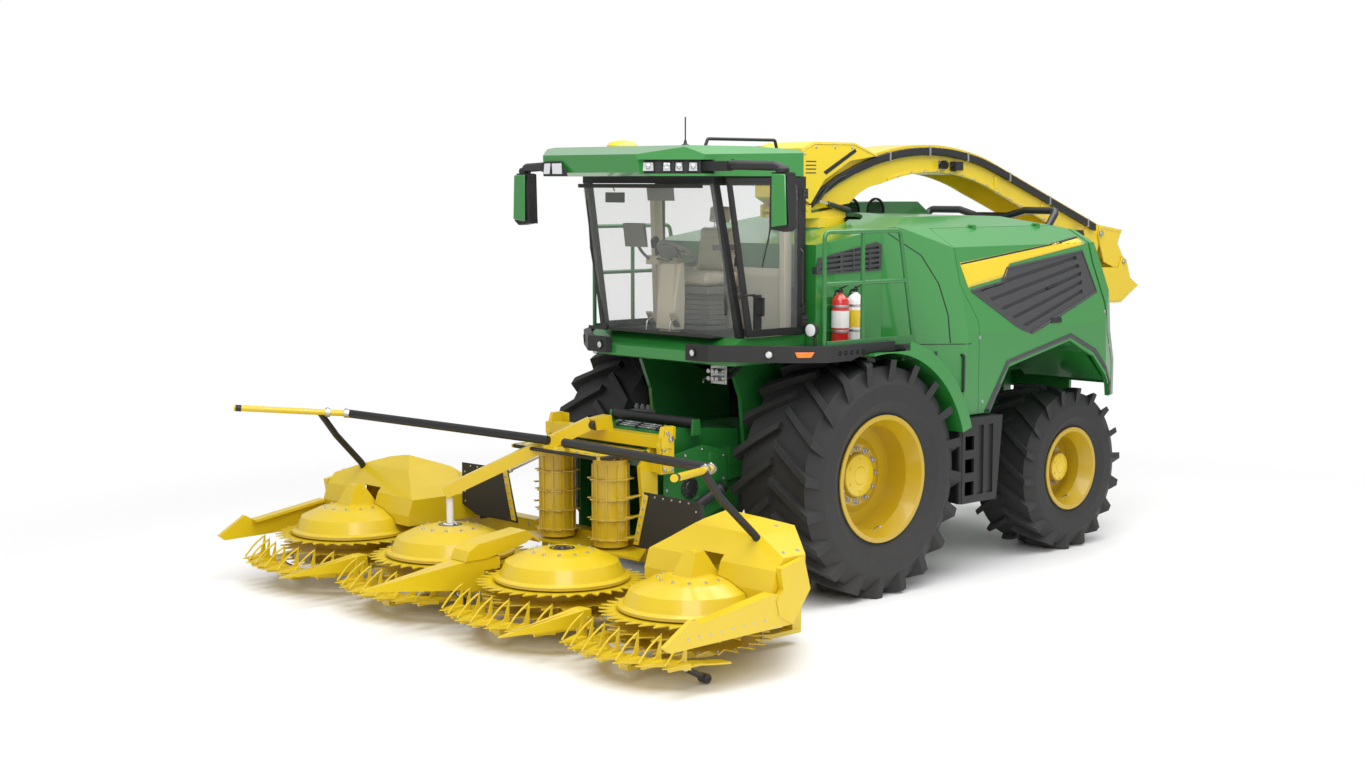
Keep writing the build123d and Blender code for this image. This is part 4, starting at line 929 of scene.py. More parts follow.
def settled(draft: bpy.types.Object) -> bpy.types.Mesh:
    """Apply a draft object's modifiers.

    Args:
        draft: the object, which is removed.

    Returns:
        The finished mesh.
    """
    bpy.context.view_layer.update()
    shown = draft.evaluated_get(bpy.context.evaluated_depsgraph_get())
    data = bpy.data.meshes.new_from_object(shown)
    bpy.data.objects.remove(draft, do_unlink=True)
    return data


def blown_up(name: str, data: bpy.types.Mesh, cap: float) -> bpy.types.Mesh:
    """Swell a closed mesh as cloth under pressure, and hold each point to a cap.

    Args:
        name: name of the piece that it is for.
        data: the mesh.
        cap: farthest that a point may move.

    Returns:
        The swollen mesh.
    """
    rest = [vert.co.copy() for vert in data.vertices]
    draft = bpy.data.objects.new(name + "_cloth", data)
    show(draft)
    cloth = draft.modifiers.new("cloth", "CLOTH")
    cloth.settings.use_pressure = True
    cloth.settings.uniform_pressure_force = 4.0
    cloth.settings.effector_weights.gravity = 0.0
    cloth.settings.quality = 4
    cloth.point_cache.frame_start = 1
    cloth.point_cache.frame_end = CLOTH_FRAMES
    scene = bpy.context.scene
    for number in range(1, CLOTH_FRAMES + 1):
        scene.frame_set(number)
    swollen = settled(draft)
    for vert, start in zip(swollen.vertices, rest):
        move = vert.co - start
        if move.length > cap:
            vert.co = start + move.normalized() * cap
    scene.frame_set(1)
    return swollen


@dataclass
class CabInterior(Assembly):
    """Driver's seat, armrest console, steering column dress and screens.

    Attributes:
        floor: height of the cab's floor.
    """

    floor: float = 2.29

    def build(self) -> None:
        """Make the cab's inside."""
        self.seat()
        self.steering()
        self.armrest()
        self.dress()

    def seat(self) -> None:
        """Air-sprung seat with its cushions, in place of the plain CAD seat."""
        base = self.form("seat_base", Look.CAB_TRIM, 0.006)
        base.block((0.5, -0.17, self.floor + 0.002), (0.74, 0.17, self.floor + 0.05))
        for i in range(6):
            z = self.floor + 0.06 + i * 0.045
            base.plate(Z, z, 0.04, [(0.505 + 0.01 * (i % 2), -0.165), (0.735 - 0.01 * (i % 2), -0.165),
                (0.735 - 0.01 * (i % 2), 0.165), (0.505 + 0.01 * (i % 2), 0.165)])
        base.block((0.42, -0.235, self.floor + 0.34), (0.82, 0.235, self.floor + 0.405))
        base.pipe([(0.78, -0.25, self.floor + 0.37), (0.84, -0.25, self.floor + 0.37),
            (0.84, -0.12, self.floor + 0.37)], 0.008, 8, 0.02)
        seat_base = base.done()
        cushion = crowned_pad("seat_cushion", (0.385, -0.255, 2.7), (0.855, 0.255, 2.828), 0.0,
            grooves=((0, 0.5, 0.006), (0, 0.62, 0.006), (0, 0.74, 0.006), (1, 0.17, 0.007), (1, -0.17, 0.007)))
        back = crowned_pad("seat_back", (0.445, -0.245, 2.8), (0.565, 0.245, 3.24), 0.085,
            grooves=((2, 2.93, 0.006), (2, 3.03, 0.006), (2, 3.13, 0.006), (1, 0.16, 0.007), (1, -0.16, 0.007)))
        head = crowned_pad("seat_head_rest", (0.395, -0.13, 3.25), (0.475, 0.13, 3.41), 0.02,
            grooves=((1, 0.0, 0.004),), cap=0.01)
        posts = self.form("seat_head_posts", Look.STEEL)
        for y in (-0.07, 0.07):
            posts.pipe([(0.43, y, 3.2), (0.425, y, 3.3)], 0.006, 8)
        for piece in (seat_base, cushion, back, head):
            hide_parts("seat")

    def steering(self) -> None:
        """Column shroud, wheel grip and its hub, levers and the small display on the column."""
        self.form("column_shroud", Look.LEATHER, 0.012).plate(Y, -0.12, 0.24,
            [(0.985, 2.32), (1.118, 2.32), (1.1, 2.6), (1.045, 2.9), (0.985, 2.93), (0.975, 2.62)])
        grip = self.form("wheel_grip", Look.CAB_TRIM)
        axis = Vector((-math.sin(math.radians(35)), 0, math.cos(math.radians(35))))
        hub = Vector((0.96, 0, 2.99))
        ring = [(s * 0.018, 0.185 + c * 0.018) for c, s in circle(10)]
        grip.turned(hub, axis, ring, 56, ring=True, per_metre=1)
        grip.turned(hub, axis, [(-15, 55), (22, 50), (30, 35), (30, 0)], 28)
        self.form("column_display", Look.SCREEN, 0.004).plate(Y, -0.11, 0.22,
            [(1.045, 2.955), (1.06, 2.955), (1.098, 3.075), (1.083, 3.08)])
        stalks = self.form("column_levers", Look.CAB_TRIM)
        stalks.pipe([(1.01, 0.05, 2.915), (0.99, 0.15, 2.93), (0.985, 0.2, 2.935)], 0.008, 8, 0.03)
        stalks.pipe([(1.01, -0.05, 2.915), (0.99, -0.15, 2.93), (0.985, -0.2, 2.935)], 0.008, 8, 0.03)
        stalks.turned((0.985, 0.2, 2.935), (0, 1, 0.05), [(0, 11), (30, 12), (40, 8)], 12)
        stalks.turned((0.985, -0.2, 2.935), (0, -1, 0.05), [(0, 11), (30, 12), (40, 8)], 12)

    def armrest(self) -> None:
        """Right console: padded rest, multi-function lever, key field and the big screen on its arm."""
        crowned_pad("arm_pad", (0.62, -0.475, 2.962), (0.82, -0.315, 3.02), 0.0, Look.CLOTH, self.body,
            cap=0.008)
        left = self.form("left_armrest", Look.CAB_TRIM, 0.008)
        left.block((0.5, 0.275, 3.02), (0.8, 0.335, 3.07))
        left.pipe([(0.5, 0.27, 3.0), (0.47, 0.25, 2.99)], 0.014, 10)
        lever = self.form("drive_lever", Look.DARK, 0.004)
        lever.pipe([(0.86, -0.38, 2.95), (0.865, -0.38, 3.03)], 0.013, 12)
        lever.plate(Y, -0.405, 0.05, [(0.845, 3.02), (0.905, 3.03), (0.915, 3.1), (0.87, 3.135), (0.84, 3.09)])
        keys = self.form("key_field", Look.SCREEN, 0.002)
        for row in range(3):
            for column in range(3):
                x, y = 0.78 + row * 0.028, -0.345 + column * 0.012
                keys.block((x, y, 2.958), (x + 0.02, y + 0.009, 2.968))
        arm = self.form("screen_arm", Look.CAB_TRIM, 0.003)
        arm.pipe([(0.9, -0.44, 2.93), (0.98, -0.46, 3.0), (1.02, -0.47, 3.09)], 0.014, 10, 0.05)
        arm.plate(Y, -0.6, 0.27, [(1.01, 3.04), (1.045, 3.04), (1.075, 3.25), (1.04, 3.255)])
        self.form("screen_face", Look.SCREEN, 0.001).plate(Y, -0.585, 0.24,
            [(1.006, 3.055), (1.011, 3.054), (1.04, 3.242), (1.035, 3.243)])

    def dress(self) -> None:
        """Posts' trim, visor, mirror inside, grab bars and the mat."""
        trim = self.form("post_trim", Look.LEATHER, 0.008)
        for hand in BOTH:
            trim.prism([(0.385, hand * 0.78, 2.3), (0.47, hand * 0.78, 2.3), (0.5, hand * 0.8, 3.6),
                (0.4, hand * 0.8, 3.6)], (0, hand * 0.07, 0))
        self.form("rear_trim", Look.LEATHER, 0.01).plate(Y, -0.74, 1.48,
            [(0.345, 2.3), (0.4, 2.3), (0.43, 2.8), (0.38, 2.86), (0.345, 2.86)])
        self.form("sun_visor", Look.CAB_TRIM, 0.004).plate(Y, 0.02, 0.34,
            [(1.33, 3.46), (1.338, 3.46), (1.355, 3.6), (1.347, 3.6)])
        glass = self.form("inside_mirror", Look.DARK, 0.004)
        glass.pipe([(1.36, -0.42, 3.6), (1.33, -0.42, 3.54)], 0.006, 8)
        glass.block((1.315, -0.54, 3.44), (1.335, -0.3, 3.53))
        self.form("cab_grab_bars", Look.DARK).pipe([(1.19, 0.84, 2.5), (1.15, 0.8, 2.55), (1.17, 0.8, 3.05),
            (1.22, 0.84, 3.1)], 0.012, 10, 0.04)
        mat = self.form("cab_mat", Look.RUBBER, 0.002)
        mat.block((0.46, -0.72, self.floor + 0.001), (1.24, 0.72, self.floor + 0.008))
        for i in range(16):
            x = 0.5 + i * 0.045
            mat.block((x, -0.7, self.floor + 0.006), (x + 0.018, 0.7, self.floor + 0.012))
        pedals = self.form("pedals", Look.STEEL, 0.002)
        for y in (0.15, -0.15):
            pedals.plate(Y, y - 0.04, 0.08, [(1.1, 2.36), (1.11, 2.35), (1.17, 2.47), (1.16, 2.48)])
            pedals.pipe([(1.14, y, 2.42), (1.19, y, 2.4), (1.2, y, 2.31)], 0.008, 8, 0.02)


@dataclass
class CabExterior(Assembly):
    """Lamps, mirrors' glass, wiper, door handle, steps' grips and roof dress.

    Attributes:
        roof: height of the roof's top.
    """

    roof: float = 3.925

    def build(self) -> None:
        """Make the cab's outside."""
        for hand in BOTH:
            self.roof_lamps(hand)
            self.mirror(hand)
        self.wiper()
        self.door_dress()
        self.roof_top()
        self.glass_edges()

    def roof_lamps(self, hand: int) -> None:
        """Work lamps in the roof's slanting corner.

        Args:
            hand: 1 for left, -1 for right.
        """
        rear, fore = Vector((1.565, hand * 0.925, 3.747)), Vector((1.925, hand * 0.565, 3.747))
        along = (fore - rear).normalized()
        out = Vector((1, hand, 0)).normalized()
        cases = self.form("roof_lamp_cases", Look.DARK, 0.003, hand)
        lenses = self.form("roof_lamp_lenses", Look.LAMP, 0.002, hand)
        dots = self.form("roof_lamp_reflectors", Look.CHROME, hand=hand)
        length = (fore - rear).length
        for share, width in ((0.13, 0.085), (0.36, 0.075), (0.56, 0.075), (0.86, 0.105)):
            middle = rear + along * length * share
            low = middle - along * width / 2 - out * 0.004 - UP * 0.044
            cases.prism([low, low + along * width, low + along * width + UP * 0.088, low + UP * 0.088], out * 0.034)
            low = middle - along * (width / 2 - 0.008) + out * 0.028 - UP * 0.035
            lenses.prism([low, low + along * (width - 0.016), low + along * (width - 0.02) + UP * 0.07,
                low + along * 0.004 + UP * 0.07], out * 0.008)
            rows = ((-0.016, 0.016), (0.016, 0.016), (0, -0.015)) if share == 0.56 else ((0, 0),)
            for across, high in rows:
                size = 0.012 if share == 0.56 else 0.022
                dots.turned(middle + along * across + UP * high + out * 0.034, out,
                    [(0, size), (0.004, size), (0.0045, size * 0.7), (0.001, size * 0.5), (0.001, 0)], 20, per_metre=1)
        if hand < 0:
            cases.plate(X, 2.001, 0.006, [(-0.59, 3.67), (-0.265, 3.67), (-0.275, 3.705), (-0.36, 3.795),
                (-0.59, 3.795)])
            for y0, y1, lean in ((-0.575, -0.5, 0.012), (-0.455, -0.335, -0.008)):
                lenses.plate(X, 2.006, 0.01, [(y0, 3.69), (y1, 3.69), (y1 + lean, 3.78), (y0 + lean, 3.78)])
        self.form("roof_lamp_back", Look.DARK_PAINT, hand=hand).prism([rear + out * 0.002 - UP * 0.048,
            fore + out * 0.002 - UP * 0.048, fore + out * 0.002 + UP * 0.048, rear + out * 0.002 + UP * 0.048],
            out * 0.003)
        lip = self.form("roof_lamp_lip", Look.DARK, 0.004, hand)
        for low, high in ((3.691, 3.7), (3.795, 3.804)):
            lip.prism([rear + out * 0.005 + UP * (low - 3.747), fore + out * 0.005 + UP * (low - 3.747),
                fore + out * 0.028 + UP * (low - 3.747), rear + out * 0.028 + UP * (low - 3.747)], (0, 0, high - low))

    def mirror(self, hand: int) -> None:
        """Green back shell, dark rim and the glasses of one mirror.

        Args:
            hand: 1 for left, -1 for right.
        """
        shell = self.form("mirror_shell", Look.GREEN, 0.01, hand)
        inner, outer = hand * 1.585, hand * 1.752
        shell.plate(X, 1.398, 0.02, [(inner, 3.255), (outer, 3.275), (hand * 1.735, 3.685), (inner, 3.69)])
        self.form("mirror_rim", Look.DARK, 0.003, hand).plate(X, 1.285, 0.012,
            [(hand * 1.548, 3.235), (hand * 1.752, 3.262), (hand * 1.735, 3.695), (hand * 1.562, 3.695)])
        glass = self.form("mirror_glass", Look.CHROME, hand=hand)
        for low, high in ((3.265, 3.38), (3.395, 3.675)):
            glass.plate(X, 1.2815, 0.004, [(hand * 1.572, low), (hand * 1.728, low), (hand * 1.722, high),
                (hand * 1.578, high)])
        joint = self.form("mirror_joint", Look.DARK, 0.004, hand)
        joint.turned((1.352, hand * 1.65, 3.7), (0, 0, 1), [(0, 55), (30, 58), (50, 45)], 24)
        for reach in (0.0, 0.06):
            joint.bolt((1.49 - reach, hand * (0.98 + reach * 3), 3.797), (0, 0, 1), 0.012)

    def screen_x(self, z: float) -> float:
        """Front of the windscreen at a height.

        Args:
            z: the height.

        Returns:
            Distance ahead of the front axle.
        """
        return 1.305 + (z - 2.3) * 0.092

    def wiper(self) -> None:
        """Windscreen wiper with its motor boss, parked upright by the right post, and its washer pipe."""
        arm = self.form("wiper_arm", Look.DARK, 0.001)
        low = Vector((self.screen_x(2.34) + 0.026, -0.56, 2.33))
        high = Vector((self.screen_x(3.05) + 0.034, -0.66, 3.05))
        arm.turned(low - AHEAD * 0.03, AHEAD, [(0, 32), (30, 30), (38, 18), (38, 0)], 20)
        arm.pipe([low, low.lerp(high, 0.3), high], 0.008, 8)
        arm.pipe([low + LEFT * 0.02, low.lerp(high, 0.35) + LEFT * 0.012], 0.005, 8)
        blade = self.form("wiper_blade", Look.RUBBER)
        ends = [(-0.635, 2.62), (-0.66, 3.05), (-0.685, 3.46)]
        blade.pipe([(self.screen_x(z) + 0.018, y, z) for y, z in ends], 0.007, 8)
        blade.pipe([(self.screen_x(2.8) + 0.018, -0.645, 2.8), (self.screen_x(3.05) + 0.034, -0.66, 3.05),
            (self.screen_x(3.28) + 0.018, -0.675, 3.28)], 0.005, 8)

    def door_dress(self) -> None:
        """Door handle, its lock, the hinges' covers and the side wiper."""
        handle = self.form("door_handle", Look.DARK, 0.003, body="cab_door")
        handle.pipe([(1.16, 1.02, 2.66), (1.16, 1.052, 2.67), (1.05, 1.052, 2.67), (1.05, 1.02, 2.66)], 0.011, 10,
            0.02)
        handle.turned((1.2, 1.016, 2.66), (0, 1, 0), [(0, 20), (12, 20), (14, 12), (14, 0)], 20)
        self.form("door_grip", Look.DARK, 0.002, body="cab_door").pipe([(0.46, 1.018, 2.55), (0.46, 1.05, 2.57),
            (0.46, 1.05, 3.02), (0.46, 1.018, 3.04)], 0.011, 10, 0.03)
        arm = self.form("side_wiper", Look.DARK, 0.001, body="cab_door")
        arm.turned((0.8, 1.0, 3.48), (0, 1, 0), [(0, 26), (25, 24), (30, 14), (30, 0)], 20)
        arm.pipe([(0.8, 1.018, 3.48), (0.86, 1.018, 3.1)], 0.006, 8)
        arm.pipe([(0.8, 1.006, 3.28), (0.92, 1.006, 2.9)], 0.006, 8)
        hinges = self.form("door_hinge_covers", Look.DARK, 0.003, body="cab_door")
        for z in (2.42, 3.52):
            hinges.block((0.375, 1.018, z - 0.045), (0.435, 1.032, z + 0.045))
            for x in (0.39, 0.42):
                hinges.bolt((x, 1.032, z + 0.02), (0, 1, 0), 0.007)
                hinges.bolt((x, 1.032, z - 0.02), (0, 1, 0), 0.007)

    def roof_top(self) -> None:
        """Positioning dome, aerial foot, roof joint and cooling vents."""
        self.form("roof_dome", Look.YELLOW, 0.004).turned((1.3, -0.35, self.roof - 0.004), UP,
            [(0, 135), (20, 135), (40, 120), (56, 90), (64, 50), (66, 0)], 40)
        self.form("aerial_foot", Look.DARK).turned((1.15, 0.3, self.roof - 0.003), UP,
            [(0, 45), (12, 42), (30, 16), (60, 10)], 24)
        self.form("roof_joint", Look.DARK).block((0.742, -0.855, self.roof - 0.001), (0.75, 0.855, self.roof + 0.002))
        vents = self.form("roof_vents", Look.GRILLE, 0.002)
        for i in range(7):
            y = -0.36 + i * 0.12
            vents.plate(X, 0.357, 0.004, [(y - 0.045, 3.76), (y + 0.045, 3.76), (y + 0.045, 3.84), (y - 0.045, 3.84)])

    def glass_edges(self) -> None:
        """Dark rubber edge along the windscreen's foot and the printed band over it."""
        edge = self.form("windscreen_edge", Look.RUBBER, 0.002)
        for z, tall in ((2.3, 0.03), (3.57, 0.035)):
            x = self.screen_x(z)
            top = self.screen_x(z + tall)
            edge.plate(Y, -0.8, 1.6, [(x, z), (x + 0.008, z), (top + 0.008, z + tall), (top, z + tall)])


# Platforms


@dataclass
class Platforms(Assembly):
    """Lamps, extinguishers, mats and belt trim round the cab's foot.

    Attributes:
        deck: height of the decks.
    """

    deck: float = 2.2

    def build(self) -> None:
        """Make the platforms' small parts."""
        for hand in BOTH:
            self.belt_lamps(hand)
            self.deck_tread(hand)
        self.mast_lamp()
        self.extinguishers()

    def belt_lamps(self, hand: int) -> None:
        """Round lamp, indicator and socket plate in the dark belt at one side.

        Args:
            hand: 1 for left, -1 for right.
        """
        run = [Vector((1.35, hand * 0.65, 0)), Vector((1.34, hand * 0.78, 0)), Vector((0.9, hand * 1.35, 0)),
            Vector((0.66, hand * 1.545, 0))]
        slant = (run[2] - run[1]).normalized()
        out = Vector((-slant.y * hand, slant.x * hand, 0)).normalized()
        out = out if out.x > 0 else -out
        rim = self.form("belt_lamp_rims", Look.DARK, 0.001, hand)
        lamp = self.form("belt_lamps", Look.LAMP, hand=hand)
        for spot in (Vector((1.357, hand * 0.6, 2.168)), run[1].lerp(run[2], 0.72) + UP * 2.168):
            way = AHEAD if spot.y * hand < 0.7 else out
            rim.turned(spot, way, [(-6, 40), (8, 40), (11, 36), (11, 31), (4, 30), (-6, 30)], 28, ring=True)
            lamp.turned(spot, way, [(-4, 29), (3, 29), (8, 16), (9, 0)], 24)
        flat = (run[3] - run[2]).normalized()
        face = Vector((-flat.y * hand, flat.x * hand, 0)).normalized()
        face = face if face.x > 0 else -face
        amber = self.form("belt_indicator", Look.AMBER, 0.004, hand)
        start = run[2].lerp(run[3], 0.06) + UP * 2.145
        end = run[2].lerp(run[3], 0.6) + UP * 2.145
        amber.prism([start + UP * 0.045, end + UP * 0.045, end - flat * 0.03, start + flat * 0.02], face * 0.012)
        plate = self.form("belt_sockets", Look.DARK_PAINT, 0.002, hand)
        for i in range(5):
            x = 0.52 - i * 0.075
            plate.turned((x, hand * 1.541, 2.17), (0, hand, 0), [(0, 20), (4, 20), (4, 12), (0.5, 12)], 18)
            plate.bolt((x - 0.036, hand * 1.543, 2.205), (0, hand, 0), 0.0022)

    def deck_tread(self, hand: int) -> None:
        """Raised studs on the walking deck and the kick strip along its edge.

        Args:
            hand: 1 for left, -1 for right.
        """
        tread = self.form("deck_tread", Look.DARK_PAINT, hand=hand)
        for i in range(16):
            for j in range(6):
                x, y = 0.58 - i * 0.07, 1.1 + j * 0.062
                turn = math.radians(45 if (i + j) % 2 else -45)
                run = Vector((math.cos(turn), math.sin(turn) * hand, 0)) * 0.022
                off = Vector((-run.y, run.x, 0)).normalized() * 0.004
                spot = Vector((x, hand * y, self.deck - 0.001))
                tread.prism([spot - run - off, spot + run - off, spot + run + off, spot - run + off], (0, 0, 0.0035))
        self.form("deck_edge", Look.FRAME_GREEN, 0.002, hand).block((-0.54, hand * 1.488, self.deck - 0.03),
            (0.63, hand * 1.496, self.deck + 0.075))
        feet = self.form("railing_feet", Look.FRAME_GREEN, 0.001, hand)
        for x in (0.65, 0.16, -0.53):
            feet.block((x - 0.035, hand * 1.43, self.deck), (x + 0.035, hand * 1.494, self.deck + 0.01))
            for turn in (-1, 1):
                feet.bolt((x + 0.026 * turn, hand * 1.443, self.deck + 0.01), UP, 0.005)

    def mast_lamp(self) -> None:
        """Work lamp on its short mast at the left deck's front."""
        mast = self.form("mast_lamp_stand", Look.DARK, 0.001)
        mast.turned((0.7, 1.42, self.deck), UP, [(0, 35), (8, 35), (12, 16), (110, 14)], 20)
        mast.turned((0.755, 1.42, self.deck + 0.175), -AHEAD, [(0, 58), (30, 58), (60, 45), (85, 22), (85, 0)], 32)
        mast.pipe([(0.7, 1.42, self.deck + 0.1), (0.7, 1.42, self.deck + 0.15)], 0.012, 10)
        self.form("mast_lamp_face", Look.LAMP).turned((0.756, 1.42, self.deck + 0.175), AHEAD,
            [(-2, 53), (6, 52), (12, 30), (14, 0)], 32)

    def extinguishers(self) -> None:
        """Red and white fire extinguishers on their bracket at the left deck."""
        radius = 0.078
        for name, look, x in (("red_extinguisher", Look.RED, 0.09), ("white_extinguisher", Look.WHITE, -0.11)):
            bottle = self.form(name, look)
            foot = (x, 1.16, self.deck + 0.012)
            bottle.turned(foot, UP, [(0, radius * 0.8), (0.008, radius * 0.97), (0.03, radius), (0.36, radius),
                (0.39, radius * 0.9), (0.415, radius * 0.62), (0.43, radius * 0.32), (0.45, radius * 0.28)], 36,
                per_metre=1)
            valve = self.form(f"{name}_valve", Look.DARK, 0.001)
            valve.turned((x, 1.16, self.deck + 0.455), UP, [(0, 24), (30, 24), (34, 14), (50, 12)], 18)
            valve.prism([(x - 0.012, 1.165, self.deck + 0.49), (x + 0.012, 1.165, self.deck + 0.49),
                (x + 0.01, 1.26, self.deck + 0.525), (x - 0.01, 1.26, self.deck + 0.525)], (0, 0, 0.008))
            valve.pipe([(x, 1.14, self.deck + 0.475), (x, 1.105, self.deck + 0.47), (x + 0.03, 1.09, self.deck + 0.36),
                (x + 0.04, 1.095, self.deck + 0.18)], 0.009, 10, 0.03)
            band_look = Look.WHITE if look is Look.RED else Look.YELLOW
            self.form(f"{name}_band", band_look).turned((x, 1.16, self.deck + 0.15), UP,
                [(0, radius + 0.0005), (0, radius + 0.0015), (0.15, radius + 0.0015), (0.15, radius + 0.0005)], 36,
                ring=True, per_metre=1)
        rack = self.form("extinguisher_rack", Look.FRAME_GREEN, 0.002)
        rack.block((-0.21, 1.062, self.deck), (0.19, 1.262, self.deck + 0.01))
        rack.block((-0.21, 1.062, self.deck), (0.19, 1.072, self.deck + 0.42))
        for z in (0.1, 0.32):
            rack.block((-0.205, 1.07, self.deck + z), (0.185, 1.082, self.deck + z + 0.03))
        straps = self.form("extinguisher_straps", Look.STEEL)
        for x in (0.09, -0.11):
            for z in (0.11, 0.33):
                straps.turned((x, 1.16, self.deck + z), UP, [(0, 78.5), (0, 81), (20, 81), (20, 78.5)], 36, ring=True)


# Hood


@dataclass
class HoodTrim(Assembly):
    """Stripes, joints, handles, arch trim, lamps and intake dress of the rear body."""

    def build(self) -> None:
        """Make the trim on both sides, the rear and the top."""
        for hand in BOTH:
            self.side(hand)
        self.intake()
        self.rear()

    def side(self, hand: int) -> None:
        """Stripe, joints, handles and arch trim of one side.

        Args:
            hand: 1 for left, -1 for right.
        """
        side = SIDE_NAMES[hand]
        panel_body = f"side_panel_{side}"
        panel = Skin(f"side_panel_{side}", f"side_grille_{side}")
        whole = Skin("hood", "mid_hood")
        low = [(-1.3, 2.66), (-1.86, 2.74), (-1.95, 2.86), (-3.17, 3.015)]
        high = [(-1.205, 2.888), (-1.78, 2.945), (-1.87, 2.955), (-3.17, 3.09)]
        lay_band(f"side_stripe_{side}", Look.YELLOW, panel_body, panel, hand, low, high)
        line = [(-1.212, 2.878), (-1.78, 2.936), (-1.87, 2.946), (-3.17, 3.081)]
        lay_line(f"stripe_line_{side}", Look.DARK, panel_body, panel, hand, line, 0.016, 0.004)
        rim = [(-1.345, 2.63), (-1.795, 2.69), (-1.895, 2.82), (-3.125, 2.95), (-3.31, 2.552), (-2.212, 2.2),
            (-2.035, 2.25), (-1.345, 2.63)]
        lay_line(f"grille_rim_{side}", Look.GRILLE, panel_body, panel, hand, rim, 0.022, 0.006)
        lay_line(f"lower_joint_{side}", Look.DARK, "machine", whole, hand, [(-0.66, 2.15), (-1.3, 2.15)])
        lay_line(f"upper_joint_{side}", Look.DARK, "machine", whole, hand,
            [(-0.66, 3.16), (-0.9, 2.96), (-1.03, 2.7), (-1.1, 2.42), (-1.12, 2.16)])
        handle = self.form("panel_handle", Look.DARK, 0.003, hand, body=panel_body)
        for x, z in ((-2.6, 2.62), (-2.6, 2.3)):
            spot = panel.side(x, z, hand, 0.002)
            if spot is not None:
                handle.prism([spot + Vector((-0.085, 0, -0.022)), spot + Vector((0.085, 0, -0.022)),
                    spot + Vector((0.075, 0, 0.028)), spot + Vector((-0.075, 0, 0.028))], (0, hand * 0.012, 0))
        grab = self.form("corner_grab", Look.DARK, 0.003, hand)
        spots = [whole.side(-1.2, z, hand, 0.003) for z in (2.05, 1.72)]
        grab.pipe([spots[0], spots[0] + LEFT * hand * 0.03, spots[1] + LEFT * hand * 0.03, spots[1]], 0.013, 10, 0.03)
        arch = [(-1.605, 1.5), (-1.895, 1.895), (-2.84, 2.085), (-3.235, 1.918), (-3.585, 1.605), (-3.63, 1.5)]
        out = [(-1.535, 1.5), (-1.85, 1.962), (-2.848, 2.162), (-3.275, 1.985), (-3.642, 1.64), (-3.69, 1.5)]
        lay_band(f"arch_trim_{side}", Look.GRILLE, panel_body, panel, hand, arch, out, 0.008, across=2)
        bolts = self.form("panel_catches", Look.STEEL, hand=hand, body=panel_body)
        for x, z in ((-1.3, 2.5), (-1.42, 2.2), (-1.5, 1.6), (-3.55, 2.0), (-3.42, 2.35)):
            spot = panel.side(x, z, hand, 0.001)
            if spot is not None:
                bolts.turned(spot, (0, hand, 0), [(0, 16), (3, 16), (4, 12), (3, 4), (3, 0)], 18)
        vent = self.form("vent_bars", Look.GRILLE, 0.002, hand)
        for x in (-0.2, -0.42):
            vent.plate(Y, hand * 1.05, hand * 0.008, [(x - 0.008, 2.83), (x + 0.008, 2.83), (x + 0.008, 3.02),
                (x - 0.008, 3.02)])
        lower = self.form("lower_vent", Look.GRILLE, 0.001, hand)
        for i in range(5):
            spot = whole.side(-0.8 - i * 0.055, 2.06 - i * 0.002, hand, 0.002)
            if spot is not None:
                lower.prism([spot + Vector((-0.02, 0, -0.035)), spot + Vector((0.015, 0, -0.035)),
                    spot + Vector((0.022, 0, 0.035)), spot + Vector((-0.013, 0, 0.035))], (0, hand * 0.004, 0))

    def intake(self) -> None:
        """Rings, meshes and ribs of the air intake's mouths and the exhaust's outlet."""
        rings = self.form("intake_rings", Look.DARK, 0.001)
        screens = self.form("intake_screens", Look.GRILLE)
        for x in (-1.48, -1.85):
            middle = Vector((x, -0.118, 3.34))
            rings.turned(middle, (0, 1, 0), [(-10, 128), (12, 126), (16, 118), (12, 108), (-10, 108)], 40, ring=True)
            for i in range(-4, 5):
                reach = math.sqrt(max(0.108 ** 2 - (i * 0.024) ** 2, 0.0001))
                screens.pipe([middle + Vector((i * 0.024, -0.004, -reach)),
                    middle + Vector((i * 0.024, -0.004, reach))], 0.0025, 6)
                screens.pipe([middle + Vector((-reach, -0.008, i * 0.024)),
                    middle + Vector((reach, -0.008, i * 0.024))], 0.0025, 6)
        pipe = self.form("exhaust_outlet", Look.STEEL)
        pipe.turned((-2.6, -0.98, 3.2), UP, [(0, 85), (140, 85), (142, 80), (50, 79), (50, 0)], 36)
        pipe.turned((-2.6, -0.98, 3.22), UP, [(0, 110), (50, 110), (60, 100), (60, 86)], 36)

